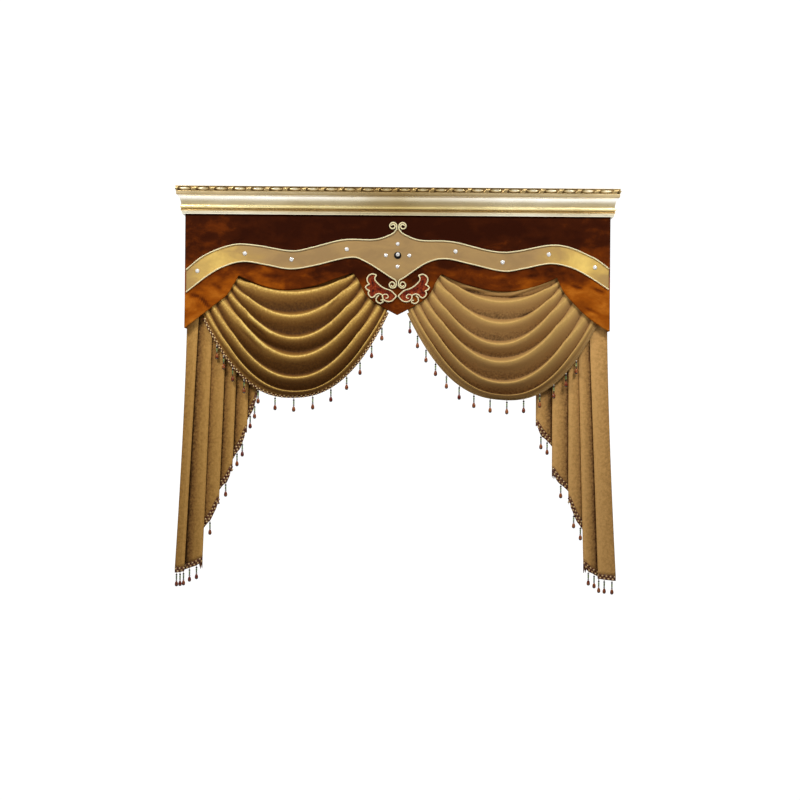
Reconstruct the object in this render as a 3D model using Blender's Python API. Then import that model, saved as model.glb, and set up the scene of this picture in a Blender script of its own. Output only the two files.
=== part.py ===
"""Window valance with swags and tails, hung from a gilded cornice.

The wall is the plane y = 0, the room lies at -y and +z is up. The origin is
the middle of the back edge of the cornice board. All sizes are in metres.
"""

import math

import bmesh
import bpy
from mathutils import Vector

# Cornice box
HALF_WIDTH = 0.997
BOX_DEPTH = 0.160
BOARD_THICKNESS = 0.018
BATTEN_THICKNESS = 0.018
BATTEN_BOTTOM = -0.105
SEAT = 0.0003

# Cloth and trimming
PELMET_THICKNESS = 0.003
PELMET_TOP = 0.008
RETURN_END = -0.001
PELMET_CORNER_Z = -0.648
BEHIND_CORNICE = -0.13
RETURN_FLAT = -0.50
BAND_CLEAR = 0.008
LIFT_SHARES = (0, 0, 0, 0.35, 1)
SHIELD_HALF = 0.20
SHIELD_BLEND = 0.12
CORNER_START = 0.78
CORNER_BLEND = 0.18
CORNER_SWAY = 0.006
EDGE_SWAY = 0.0025
SWAYS_PER_METRE = 17
SWAY_START = 0.6
BAND_THICKNESS = 0.0015
CORD_RADIUS = 0.0032
SWAG_THICKNESS = 0.0016
TAIL_THICKNESS = 0.0018
CORD_INSET = 0.0035
CORD_PART = 0.0018
SCROLL_OUTER = 0.0185
SCROLL_INNER = 0.0065
SCROLL_TURNS = 1.45
SCROLL_STEPS = 15
SCROLL_RISE = 0.014
TAIL_TOP = -0.0125
BRAID_THICKNESS = 0.003
SWAG_BRAID = 0.011
TAIL_BRAID = 0.024
BRAID_FRONT_SHARE = 0.25
CORNER_REACH = 0.0005
SWAG_HEM_GAP = 0.0006
PLEAT_HEM_GAP = 0.0014

PELMET_FRONT = -BOX_DEPTH
PELMET_BACK = PELMET_FRONT + PELMET_THICKNESS
INNER_HALF = HALF_WIDTH - PELMET_THICKNESS - SEAT
BATTEN_FRONT = PELMET_BACK + SEAT
BATTEN_BACK = BATTEN_FRONT + BATTEN_THICKNESS
BAND_BACK = PELMET_FRONT - SEAT
BAND_FRONT = BAND_BACK - BAND_THICKNESS
CORD_Y = BAND_FRONT - SEAT - CORD_RADIUS

# Crown moulding, from the top of its back down its face: projection, height
CROWN = [
    (0.000, 0.015), (0.044, 0.015), (0.047, 0.010), (0.047, -0.002), (0.043, -0.008),
    (0.039, -0.010), (0.039, -0.024), (0.034, -0.027), (0.030, -0.030), (0.0235, -0.044),
    (0.018, -0.059), (0.015, -0.074), (0.020, -0.077), (0.0235, -0.0815), (0.021, -0.086),
    (0.0245, -0.092), (0.021, -0.098), (0.014, -0.100), (0.0135, -0.112), (0.010, -0.114),
    (0.000, -0.114),
]

# Lower edge of the pelmet in runs between its corners: x, z
PELMET_EDGE = [
    [(-0.990, -0.646), (-0.868, -0.549), (-0.801, -0.495), (-0.773, -0.451), (-0.744, -0.401)],
    [(-0.744, -0.401), (-0.628, -0.450), (-0.521, -0.466), (-0.395, -0.447), (-0.270, -0.405),
     (-0.208, -0.385)],
    [(-0.208, -0.385), (-0.183, -0.418), (-0.150, -0.483), (-0.111, -0.518), (-0.049, -0.555), (0.000, -0.581)],
    [(0.000, -0.581), (0.049, -0.555), (0.111, -0.518), (0.150, -0.485), (0.183, -0.418), (0.206, -0.386)],
    [(0.206, -0.386), (0.280, -0.421), (0.399, -0.455), (0.519, -0.466), (0.638, -0.444), (0.748, -0.400)],
    [(0.748, -0.400), (0.776, -0.460), (0.814, -0.507), (0.896, -0.587), (0.990, -0.650)],
]

# Wavy band sewn on the pelmet: x, z of its upper and lower edges
BAND_TOP = [
    [(-0.990, -0.372), (-0.900, -0.302), (-0.771, -0.254), (-0.656, -0.257), (-0.498, -0.281), (-0.398, -0.263),
     (-0.254, -0.227), (-0.110, -0.225), (-0.038, -0.203), (0.000, -0.178)],
    [(0.000, -0.178), (0.038, -0.203), (0.109, -0.227), (0.259, -0.233), (0.493, -0.280), (0.742, -0.244),
     (0.905, -0.296), (0.990, -0.352)],
]
BAND_BOTTOM = [
    [(-0.990, -0.484), (-0.885, -0.402), (-0.807, -0.359), (-0.720, -0.338), (-0.613, -0.353), (-0.506, -0.371),
     (-0.398, -0.356), (-0.225, -0.315), (-0.146, -0.336), (-0.030, -0.408), (0.000, -0.424)],
    [(0.000, -0.424), (0.030, -0.408), (0.135, -0.338), (0.225, -0.318), (0.345, -0.342), (0.493, -0.374),
     (0.590, -0.361), (0.712, -0.337), (0.805, -0.352), (0.887, -0.390), (0.990, -0.456)],
]

# Glass crystals on the band: x, z, radius
CRYSTALS = [
    (-0.937, -0.381, 0.010), (-0.716, -0.297, 0.010), (-0.497, -0.324, 0.010), (-0.238, -0.274, 0.010),
    (-0.055, -0.301, 0.009), (0.000, -0.247, 0.009), (0.000, -0.301, 0.017), (0.055, -0.301, 0.009),
    (0.000, -0.353, 0.009), (0.271, -0.280, 0.010), (0.492, -0.329, 0.010), (0.708, -0.291, 0.010),
    (0.925, -0.350, 0.010),
]

# Left leaf scroll on the shield, in runs between its tips and notches: x, z
LEAF_EDGE = [
    [(-0.004, -0.492), (-0.030, -0.467), (-0.058, -0.457), (-0.080, -0.444), (-0.098, -0.427), (-0.106, -0.411),
     (-0.099, -0.394)],
    [(-0.099, -0.394), (-0.119, -0.389), (-0.136, -0.398), (-0.142, -0.412), (-0.139, -0.427), (-0.131, -0.437)],
    [(-0.131, -0.437), (-0.141, -0.442), (-0.150, -0.451)],
    [(-0.150, -0.451), (-0.143, -0.461), (-0.131, -0.467)],
    [(-0.131, -0.467), (-0.136, -0.479), (-0.131, -0.491), (-0.119, -0.499), (-0.108, -0.495)],
    [(-0.108, -0.495), (-0.099, -0.485), (-0.085, -0.481), (-0.069, -0.488)],
    [(-0.069, -0.488), (-0.068, -0.502), (-0.057, -0.514), (-0.040, -0.518), (-0.022, -0.512), (-0.004, -0.492)],
]
LEAF_STEPS = 3

# Cord curl under the left leaf: x, z
LEAF_CURL = [(-0.086, -0.489), (-0.097, -0.499), (-0.099, -0.512), (-0.091, -0.522), (-0.079, -0.526),
             (-0.068, -0.520), (-0.069, -0.511), (-0.078, -0.511)]
LEAF_THICKNESS = 0.002

# Swag folds from the top one down, the last row being the hem:
# outer x, outer z, inner x, inner z, sag, fullness, lip, belly share
LEFT_FOLDS = [
    (-0.742, -0.408, -0.213, -0.386, 0.080, 2.0, 0.014, 0.10),
    (-0.760, -0.441, -0.195, -0.404, 0.163, 2.0, 0.027, 0.40),
    (-0.778, -0.471, -0.174, -0.455, 0.227, 2.0, 0.037, 0.80),
    (-0.802, -0.504, -0.144, -0.503, 0.273, 2.0, 0.041, 1.00),
    (-0.844, -0.543, -0.108, -0.538, 0.335, 2.1, 0.040, 1.00),
    (-0.874, -0.579, -0.066, -0.562, 0.370, 2.2, 0.026, 0.95),
    (-0.902, -0.600, -0.048, -0.565, 0.379, 2.35, 0.010, 0.90),
]
RIGHT_FOLDS = [
    (0.749, -0.415, 0.208, -0.388, 0.110, 2.0, 0.016, 0.10),
    (0.762, -0.440, 0.189, -0.404, 0.190, 2.0, 0.027, 0.35),
    (0.784, -0.471, 0.163, -0.454, 0.249, 2.0, 0.036, 0.75),
    (0.822, -0.515, 0.136, -0.495, 0.289, 2.0, 0.040, 1.00),
    (0.866, -0.565, 0.106, -0.525, 0.346, 2.1, 0.040, 1.00),
    (0.906, -0.605, 0.076, -0.551, 0.372, 2.25, 0.026, 0.95),
    (0.927, -0.622, 0.055, -0.567, 0.370, 2.4, 0.010, 0.90),
]

# Section of one fold from its pocket over its lip, at the swag's middle and then near its
# ends: way down to the next fold, share of the lip, way down, share of the lip
FOLD_SECTION = [
    (-0.20, 0.12, 0.05, 0.00), (-0.07, 0.55, -0.04, 0.70), (0.02, 1.00, 0.03, 1.00),
    (0.22, 0.92, 0.30, 0.88), (0.50, 0.48, 0.68, 0.45),
]
FLAT_SECTION = [0.00, 0.20, 0.40, 0.60, 0.80]
OPEN_REACH = 0.11
LIP_REACH = 0.20
END_LIP = 0.007
SWAG_BACK = -0.1465
SWAG_BELLY = 0.020
SEWN_GAP = 0.0004
SEWN_Y = PELMET_BACK + SEWN_GAP
SEWN_REACH = 0.035
HEADING_HEIGHT = 0.065
HEADING_MIDDLE = 0.45
SWAG_COLUMNS = 16
HEM_SHARE = 0.30

# Tail pleats from the outer one in: x of the fold, lean per metre, width tucked
# behind it, hem height at the pleat's start and at its fold, bead drops
LEFT_PLEATS = [
    (-0.937, 0.050, 0.030, -1.774, -1.768, 3),
    (-0.868, 0.036, 0.050, -1.768, -1.725, 2),
    (-0.803, 0.035, 0.030, -1.608, -1.444, 1),
    (-0.747, 0.035, 0.030, -1.397, -1.292, 1),
    (-0.691, 0.022, 0.030, -1.254, -1.109, 2),
    (-0.639, 0.030, 0.000, -1.070, -0.932, 2),
]
RIGHT_PLEATS = [
    (-0.906, 0.043, 0.030, -1.797, -1.788, 3),
    (-0.852, 0.030, 0.050, -1.788, -1.732, 2),
    (-0.806, 0.006, 0.040, -1.604, -1.428, 2),
    (-0.731, 0.002, 0.030, -1.400, -1.292, 1),
    (-0.654, 0.002, 0.000, -1.180, -1.071, 2),
]
PLEAT_TOP_Z = -0.70
OUTER_EDGE = 0.988
OUTER_FLARE = 0.050
FLARE_TOP = -0.62
FLARE_RUN = 1.18
TAIL_FRONT = BATTEN_BACK + SEAT
PLEAT_DEPTH_TOP = 0.014
PLEAT_DEPTH_HEM = 0.030
TURN = 0.006
ROLL = 0.012
TAIL_ROWS = [0.0, 0.25, 0.5, 0.75, 1.0]

# Open face of a pleat, from its hidden start to near its fold: way across, share of the depth
PLEAT_FACE = [(0.0, 1.00), (0.30, 0.62), (0.62, 0.22)]
FIRST_FACE = [(0.0, 0.30), (0.50, 0.12)]
TURN_COLUMNS = 5
FIRST_OPEN = (0.0, 1.5)
PLEAT_OPEN = (0.30, 1.0)

# Bead drop, hung from the braid: way down, half width
DROP = [(0.010, 0.0012), (0.036, 0.0025), (0.044, 0.0060), (0.056, 0.0062), (0.066, 0.0010)]
DROP_ROOT = 0.003

# Bead drops along each swag's hem: share of the first and the last, count, spread of the spacing
SWAG_DROPS = {"left": (0.115, 0.94, 13, 1.15), "right": (0.027, 0.85, 14, 1.0)}


def material(name, colour, roughness, metallic):
    mat = bpy.data.materials.new(name)
    mat.use_nodes = True
    shader = mat.node_tree.nodes["Principled BSDF"]
    shader.inputs["Base Color"].default_value = (*colour, 1.0)
    shader.inputs["Roughness"].default_value = roughness
    shader.inputs["Metallic"].default_value = metallic
    return mat


def add_object(name, data, mat):
    item = bpy.data.objects.new(name, data)
    data.materials.append(mat)
    bpy.context.collection.objects.link(item)
    return item


def finish_mesh(name, bm, mat, smooth=False):
    mesh = bpy.data.meshes.new(name)
    bmesh.ops.recalc_face_normals(bm, faces=bm.faces)
    bm.to_mesh(mesh)
    bm.free()
    if smooth:
        mesh.shade_smooth()
        mesh.set_sharp_from_angle(angle=math.radians(50))
    return add_object(name, mesh, mat)


def cloth(name, rows, thickness, mat, mirrored=False, even=False):
    """Sheet through a grid of points whose rows run in +x; its thickness goes to the back."""
    bm = bmesh.new()
    grid = [[bm.verts.new(point) for point in row] for row in rows]
    for upper, lower in zip(grid, grid[1:]):
        for i in range(len(upper) - 1):
            bm.faces.new((upper[i], lower[i], lower[i + 1], upper[i + 1]))
    if mirrored:
        bmesh.ops.scale(bm, vec=(-1, 1, 1), verts=bm.verts)
        bmesh.ops.reverse_faces(bm, faces=bm.faces)
    mesh = bpy.data.meshes.new(name)
    bm.to_mesh(mesh)
    bm.free()
    mesh.shade_smooth()
    item = add_object(name, mesh, mat)
    shell = item.modifiers.new("thickness", "SOLIDIFY")
    shell.thickness = thickness
    shell.offset = -1
    shell.use_even_offset = even
    return item


def block(name, low, high, mat):
    bm = bmesh.new()
    bmesh.ops.create_cube(bm, size=1)
    size = [b - a for a, b in zip(low, high)]
    middle = [(a + b) / 2 for a, b in zip(low, high)]
    bmesh.ops.scale(bm, vec=size, verts=bm.verts)
    bmesh.ops.translate(bm, vec=middle, verts=bm.verts)
    return finish_mesh(name, bm, mat)


def smooth_run(points, steps):
    """Curve through points of one run, with steps pieces between each two."""
    ends = [points[0]] + points + [points[-1]]
    curve = []
    for a, b, c, d in zip(ends, ends[1:], ends[2:], ends[3:]):
        for i in range(steps):
            t = i / steps
            curve.append(tuple(
                b[k] + 0.5 * t * (c[k] - a[k]
                + t * (2 * a[k] - 5 * b[k] + 4 * c[k] - d[k] + t * (3 * b[k] - a[k] - 3 * c[k] + d[k])))
                for k in range(2)))
    curve.append(points[-1])
    return curve


def edge_line(runs, steps):
    line = []
    for run in runs:
        line += smooth_run(run, steps)[:-1]
    line.append(runs[-1][-1])
    return line


def smooth_step(value):
    """Eased way from 0 to 1."""
    value = min(max(value, 0), 1)
    return value * value * (3 - 2 * value)


def height_at(line, x):
    for (xa, za), (xb, zb) in zip(line, line[1:]):
        if xa <= x <= xb:
            return za + (zb - za) * (x - xa) / (xb - xa)
    return line[0][1] if x < line[0][0] else line[-1][1]


def ribbon(stations):
    """Strip through stations of front upper, front lower, back lower and back upper points.

    Returns its mesh and its lower faces, one for each span.
    """
    bm = bmesh.new()
    rings = [[bm.verts.new(point) for point in station] for station in stations]
    lower = []
    for a, b in zip(rings, rings[1:]):
        for i in range(4):
            j = (i + 1) % 4
            face = bm.faces.new((a[i], a[j], b[j], b[i]))
            if i == 1:
                lower.append(face)
    bm.faces.new(rings[0][::-1])
    bm.faces.new(rings[-1])
    return bm, lower


# Cornice

def crown(name, start, end, mat):
    """Moulding between two ends, each a function from a projection to a point in plan."""
    bm = bmesh.new()
    rings = []
    for place in (start, end):
        ring = [bm.verts.new((*place(out), z)) for out, z in CROWN]
        bm.faces.new(ring)
        rings.append(ring)
    count = len(CROWN)
    for i in range(count):
        j = (i + 1) % count
        bm.faces.new((rings[0][i], rings[1][i], rings[1][j], rings[0][j]))
    return finish_mesh(name, bm, mat, smooth=True)


def make_cornice(gilt, wood):
    face_y = PELMET_FRONT - SEAT
    face_x = HALF_WIDTH + SEAT
    crown("cornice_front",
          lambda out: (-face_x - out + SEAT, face_y - out),
          lambda out: (face_x + out - SEAT, face_y - out), gilt)
    for side, name in ((-1, "cornice_return_left"), (1, "cornice_return_right")):
        crown(name,
              lambda out, side=side: (side * (face_x + out), RETURN_END),
              lambda out, side=side: (side * (face_x + out), face_y - out + SEAT), gilt)
    half_board = BOARD_THICKNESS / 2
    block("cornice_board", (-INNER_HALF, BATTEN_FRONT, -half_board), (INNER_HALF, 0, half_board), wood)
    block("cornice_batten", (-INNER_HALF, BATTEN_FRONT, BATTEN_BOTTOM),
          (INNER_HALF, BATTEN_BACK, -half_board - SEAT), wood)


# Pelmet

def pelmet_lift(x, share):
    """Forward sway of the pelmet's free lower edge; the shield and the band lie flat."""
    side = min(max((abs(x) - SHIELD_HALF) / SHIELD_BLEND, 0), 1)
    corner = min(max((abs(x) - CORNER_START) / CORNER_BLEND, 0), 1)
    sway = EDGE_SWAY * (1 + math.sin(SWAYS_PER_METRE * x + SWAY_START))
    return share * side * (sway + CORNER_SWAY * corner)


def pelmet_levels(bottom, band_z):
    """Heights of one column: the top, behind the cornice, under the band, then the free edge."""
    flat = min(band_z, BEHIND_CORNICE)
    flat = max(flat - BAND_CLEAR, bottom + 0.02)
    return PELMET_TOP, BEHIND_CORNICE, flat, (flat + bottom) / 2, bottom


def return_columns(side):
    """Columns of a side return, from the wall to the front corner."""
    levels = pelmet_levels(PELMET_CORNER_Z, RETURN_FLAT)
    return [[(side * HALF_WIDTH, y, z) for z in levels] for y in (RETURN_END, PELMET_FRONT / 2, PELMET_FRONT)]


def make_pelmet(velvet):
    band = edge_line(BAND_BOTTOM, 4)
    columns = return_columns(-1)
    for x, z in edge_line(PELMET_EDGE, 2):
        levels = pelmet_levels(z, height_at(band, x))
        columns.append([(x, PELMET_FRONT - pelmet_lift(x, share), level)
                        for level, share in zip(levels, LIFT_SHARES)])
    columns += return_columns(1)[::-1]
    cloth("pelmet", list(zip(*columns)), PELMET_THICKNESS, velvet, even=True)


def make_band(suede):
    top = edge_line(BAND_TOP, 4)
    bottom = edge_line(BAND_BOTTOM, 4)
    stations = []
    for x, z in top:
        low = height_at(bottom, x)
        stations.append(((x, BAND_FRONT, z), (x, BAND_FRONT, low), (x, BAND_BACK, low), (x, BAND_BACK, z)))
    finish_mesh("band", ribbon(stations)[0], suede)


def cord(name, route, mat, closed=False):
    curve = bpy.data.curves.new(name, "CURVE")
    curve.dimensions = "3D"
    curve.bevel_depth = CORD_RADIUS
    curve.bevel_resolution = 0
    curve.use_fill_caps = True
    spline = curve.splines.new("POLY")
    spline.points.add(len(route) - 1)
    spline.use_cyclic_u = closed
    for point, place in zip(spline.points, route):
        point.co = (*place, 1)
    return add_object(name, curve, mat)


def scroll(centre, turn):
    """Spiral that winds into its centre from the side nearest the centre line."""
    points = []
    for i in range(SCROLL_STEPS + 1):
        share = i / SCROLL_STEPS
        radius = SCROLL_OUTER + (SCROLL_INNER - SCROLL_OUTER) * share
        angle = 2 * math.pi * SCROLL_TURNS * share * turn
        points.append((centre[0] + radius * math.cos(angle), centre[1] + radius * math.sin(angle)))
    return points


def make_band_cords(cream):
    """Cream piping on both edges of the band; the four ends wind into scrolls at the centre."""
    centre_x = -(CORD_RADIUS + CORD_PART + SCROLL_OUTER)
    for level, runs, turn in (("top", BAND_TOP, 1), ("bottom", BAND_BOTTOM, -1)):
        peak = runs[0][-1][1]
        for side, label in ((-1, "left"), (1, "right")):
            run = runs[0] if side < 0 else [(-x, z) for x, z in reversed(runs[1])]
            edge = [(x, z - CORD_INSET * turn) for x, z in smooth_run(run, 3)[:-2]]
            turned = scroll((centre_x, peak + SCROLL_RISE * turn), turn)
            route = edge + [(centre_x + SCROLL_OUTER, peak)] + turned
            cord("band_cord_%s_%s" % (level, label), [(-side * x, CORD_Y, z) for x, z in route], cream)


# Crystals

def make_crystals(glass):
    to_room = Vector((0, 0, 1)).rotation_difference(Vector((0, -1, 0))).to_matrix()
    for number, (x, z, radius) in enumerate(CRYSTALS, 1):
        height = radius * 0.6
        bm = bmesh.new()
        bmesh.ops.create_cone(bm, cap_ends=True, segments=8, radius1=radius, radius2=radius * 0.55,
                              depth=height)
        bmesh.ops.rotate(bm, matrix=to_room, verts=bm.verts)
        bmesh.ops.translate(bm, vec=(x, BAND_FRONT - SEAT - height / 2, z), verts=bm.verts)
        finish_mesh("crystal_%02d" % number, bm, glass)


# Leaf scrolls on the shield

def make_leaves(red, cream):
    """Leaf cut with a corded edge, and the cord curl under it."""
    outline = edge_line(LEAF_EDGE, LEAF_STEPS)[:-1]
    curl = smooth_run(LEAF_CURL, LEAF_STEPS)
    for side, label in ((-1, "left"), (1, "right")):
        bm = bmesh.new()
        face = bm.faces.new([bm.verts.new((-side * x, BAND_BACK, z)) for x, z in outline])
        pushed = bmesh.ops.extrude_face_region(bm, geom=[face])
        moved = [v for v in pushed["geom"] if isinstance(v, bmesh.types.BMVert)]
        bmesh.ops.translate(bm, vec=(0, -LEAF_THICKNESS, 0), verts=moved)
        finish_mesh("leaf_%s" % label, bm, red)
        y = BAND_BACK - LEAF_THICKNESS - SEAT - CORD_RADIUS
        cord("leaf_cord_%s" % label, [(-side * x, y, z) for x, z in outline], cream, closed=True)
        y = BAND_BACK - CORD_RADIUS
        cord("leaf_curl_%s" % label, [(-side * x, y, z) for x, z in curl], cream)


# Swags

def fold_point(fold, share):
    outer_x, outer_z, inner_x, inner_z, sag, fullness = fold[:6]
    hang = sag * (1 - abs(2 * share - 1) ** fullness)
    return outer_x + (inner_x - outer_x) * share, outer_z + (inner_z - outer_z) * share - hang


def swag_shares():
    """Places along the folds, from one sewn end to the other, closer together at the ends."""
    even = [i / SWAG_COLUMNS for i in range(SWAG_COLUMNS + 1)]
    eased = [0.5 * s + 0.25 * (1 - math.cos(math.pi * s)) for s in even]
    return [-SEWN_REACH] + eased + [1 + SEWN_REACH]


def swag_surface(fold, below, share, section, flat_down):
    """Point of one fold's section at one place along it."""
    inside = min(max(share, 0), 1)
    from_end = min(inside, 1 - inside)
    middle = 4 * inside * (1 - inside)
    down, out = (side + (centre - side) * middle ** 2 for centre, side in zip(section[:2], section[2:]))
    lip = END_LIP + (fold[6] - END_LIP) * smooth_step(from_end / LIP_REACH)
    way = flat_down + (down - flat_down) * min(from_end / OPEN_REACH, 1)
    x, z = fold_point(fold, share)
    x_below, z_below = fold_point(below, share)
    belly = fold[7] + (below[7] - fold[7]) * min(max(way, 0), 1)
    y = SWAG_BACK - SWAG_BELLY * belly * middle - lip * out
    if share < 0 or share > 1:
        y = SEWN_Y
    return x + (x_below - x) * way, y, z + (z_below - z) * way


def swag_rows(folds):
    shares = swag_shares()
    rows = []
    for rise, y in ((HEADING_HEIGHT, SEWN_Y), (HEADING_HEIGHT * HEADING_MIDDLE, SEWN_Y)):
        rows.append([(p[0], y, p[1] + rise) for p in (fold_point(folds[0], s) for s in shares)])
    for fold, below in zip(folds, folds[1:]):
        for section, flat_down in zip(FOLD_SECTION, FLAT_SECTION):
            rows.append([swag_surface(fold, below, s, section, flat_down) for s in shares])
    hem = folds[-1]
    rows.append([swag_surface(hem, hem, s, (0, HEM_SHARE, 0, HEM_SHARE), 0) for s in shares])
    return rows


def make_swag(side, folds, tan, trim):
    label = "left" if side < 0 else "right"
    rows = swag_rows(folds)
    if side > 0:
        rows = [row[::-1] for row in rows]
    cloth("swag_%s" % label, rows, SWAG_THICKNESS, tan)
    hem = [Vector(point) for point in rows[-1][1:-1]]
    first, last, count, spread = SWAG_DROPS[label]
    drops = [lengths_along(hem)[-1] * (first + (last - first) * (i / (count - 1)) ** spread)
             for i in range(count)]
    make_fringe("swag_fringe_%s" % label, hem, drops, SWAG_BRAID, False, trim)


# Fringe

def lengths_along(path):
    lengths = [0]
    for a, b in zip(path, path[1:]):
        lengths.append(lengths[-1] + (b - a).length)
    return lengths


def point_on(path, arc):
    """Point at a length along a path, and the path's direction there."""
    for a, b in zip(path, path[1:]):
        span = (b - a).length
        if arc <= span:
            return a + (b - a) * (arc / span), (b - a) / span
        arc -= span
    return path[-1], (path[-1] - path[-2]).normalized()


def clear_of(corners, drop):
    """Place of a drop, moved just past any corner of the hem that it would straddle."""
    for corner in corners:
        if abs(corner - drop) < DROP_ROOT:
            return corner + DROP_ROOT
    return drop


def braid_station(hem, arc, height, upright):
    """The four points of the braid's section at one place along the hem.

    An upright braid keeps to the vertical as it goes round pleats; the other
    kind lies square to its hem.
    """
    point = point_on(hem, arc)[0]
    before = point_on(hem, max(arc - CORNER_REACH, 0))[1]
    after = point_on(hem, arc + CORNER_REACH)[1]
    along = (before + after).normalized()
    down = Vector((along.z, 0, -along.x)).normalized()
    gap = SWAG_HEM_GAP
    stretch = 1
    if upright:
        down = Vector((0, 0, -1))
        gap = PLEAT_HEM_GAP
        stretch = 1 / max(math.hypot(along.x, along.y), 0.5)
    back = along.cross(down).normalized() * BRAID_THICKNESS
    front = back * -BRAID_FRONT_SHARE
    upper = point + down * gap * stretch + front
    lower = upper + down * height * stretch
    return upper, lower, lower + back, upper + back


def make_fringe(name, hem, drops, height, upright, mat, mirrored=False):
    """Braid just below a hem, with the bead drops hanging from its lower side."""
    corners = lengths_along(hem)
    roots = [clear_of(corners, drop) - DROP_ROOT / 2 for drop in drops]
    places = sorted(corners + roots + [root + DROP_ROOT for root in roots])
    bm, lower_faces = ribbon([braid_station(hem, arc, height, upright) for arc in places])
    for root in roots:
        hang_drop(bm, lower_faces[places.index(root)])
    if mirrored:
        bmesh.ops.scale(bm, vec=(-1, 1, 1), verts=bm.verts)
    finish_mesh(name, bm, mat)


def hang_drop(bm, face):
    """Four sided bead drop drawn down out of one lower face of the braid."""
    root = face.calc_center_median()
    for down, half in DROP:
        grown = bmesh.ops.extrude_discrete_faces(bm, faces=[face])["faces"][0]
        centre = grown.calc_center_median()
        for vert in grown.verts:
            sign_x = 1 if vert.co.x > centre.x else -1
            sign_y = 1 if vert.co.y > centre.y else -1
            vert.co = (root.x + sign_x * half, root.y + sign_y * half, root.z - down)
        face = grown


# Tails

def outer_edge(z):
    below = min(max((FLARE_TOP - z) / FLARE_RUN, 0), 1)
    return -OUTER_EDGE - OUTER_FLARE * below ** 1.4


def fold_line(pleat, z):
    """x of a pleat's fold at a height."""
    return pleat[0] - pleat[1] * (PLEAT_TOP_Z - z)


def pleat_columns(pleats, z_at):
    """Section of the pleats, outer edge first: x, share of the depth and hem height.

    The height of each column comes from its hem, through z_at.
    """
    columns = []
    for number, pleat in enumerate(pleats):
        tuck, hem_start, hem_fold = pleat[2:5]

        def start(z):
            if number == 0:
                return outer_edge(z)
            outer = pleats[number - 1]
            return fold_line(outer, z) - outer[2] + TURN

        face = FIRST_FACE if number == 0 else PLEAT_FACE
        for way, depth_share in face:
            hem = hem_start + (hem_fold - hem_start) * way
            z = z_at(hem)
            columns.append((start(z) + (fold_line(pleat, z) - start(z)) * way, depth_share, hem))
        z = z_at(hem_fold)
        columns.append((fold_line(pleat, z) - ROLL, 0.0, hem_fold))
        columns.append((fold_line(pleat, z), 0.15, hem_fold))
        if tuck:
            next_hem = pleats[number + 1][3]
            columns.append((fold_line(pleat, z) - ROLL, 0.36, hem_fold))
            z = z_at(next_hem)
            columns.append((fold_line(pleat, z) - tuck + TURN, 0.75, next_hem))
            columns.append((fold_line(pleat, z) - tuck, 0.88, next_hem))
    return columns


def tail_drops(pleats, hem):
    """Lengths along the hem of the bead drops, on each pleat's open face."""
    lengths = lengths_along(hem)
    drops = []
    index = 0
    for number, pleat in enumerate(pleats):
        face = FIRST_FACE if number == 0 else PLEAT_FACE
        start = lengths[index]
        open_face = lengths[index + len(face)] - start
        count = pleat[5]
        low, high = FIRST_OPEN if number == 0 else PLEAT_OPEN
        drops += [start + open_face * (low + (high - low) * (i + 0.5) / count) for i in range(count)]
        index += len(face) + TURN_COLUMNS
    return drops


def make_tail(side, pleats, tan, trim):
    label = "left" if side < 0 else "right"
    rows = []
    for share in TAIL_ROWS:
        row = []
        height = lambda hem, share=share: TAIL_TOP + (hem - TAIL_TOP) * share
        for x, depth_share, hem in pleat_columns(pleats, height):
            z = height(hem)
            reach = (TAIL_TOP - z) / (TAIL_TOP - pleats[0][3])
            depth = PLEAT_DEPTH_TOP + (PLEAT_DEPTH_HEM - PLEAT_DEPTH_TOP) * reach
            row.append((x, TAIL_FRONT + depth * depth_share, z))
        rows.append(row)
    cloth("tail_%s" % label, rows, TAIL_THICKNESS, tan, mirrored=side > 0)
    hem = [Vector(point) for point in rows[-1]]
    drops = tail_drops(pleats, hem)
    make_fringe("tail_fringe_%s" % label, hem, drops, TAIL_BRAID, True, trim, mirrored=side > 0)


def main():
    for item in list(bpy.data.objects):
        bpy.data.objects.remove(item, do_unlink=True)
    gilt = material("gilt", (0.62, 0.50, 0.28), 0.32, 0.85)
    wood = material("board wood", (0.52, 0.38, 0.22), 0.65, 0.0)
    velvet = material("brown velvet", (0.20, 0.065, 0.02), 0.75, 0.0)
    suede = material("band suede", (0.48, 0.34, 0.17), 0.8, 0.0)
    tan = material("swag chenille", (0.42, 0.27, 0.11), 0.75, 0.0)
    cream = material("cream piping", (0.72, 0.58, 0.32), 0.6, 0.0)
    red = material("leaf red", (0.32, 0.07, 0.03), 0.7, 0.0)
    glass = material("crystal glass", (0.85, 0.86, 0.88), 0.08, 0.0)
    trim = material("bead trim", (0.30, 0.14, 0.05), 0.3, 0.1)
    make_cornice(gilt, wood)
    make_pelmet(velvet)
    make_band(suede)
    make_band_cords(cream)
    make_crystals(glass)
    make_leaves(red, cream)
    make_swag(-1, LEFT_FOLDS, tan, trim)
    make_swag(1, RIGHT_FOLDS, tan, trim)
    make_tail(-1, LEFT_PLEATS, tan, trim)
    make_tail(1, RIGHT_PLEATS, tan, trim)


main()
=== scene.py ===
"""Window valance with swags, tails and bead fringe, hung from a gilded cornice: its finish.

The wall is the plane y = 0, the room lies at -y and +z is up. All sizes are in metres.
"""

import math

import bmesh
import bpy
from mathutils import Matrix, Vector, noise


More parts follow.
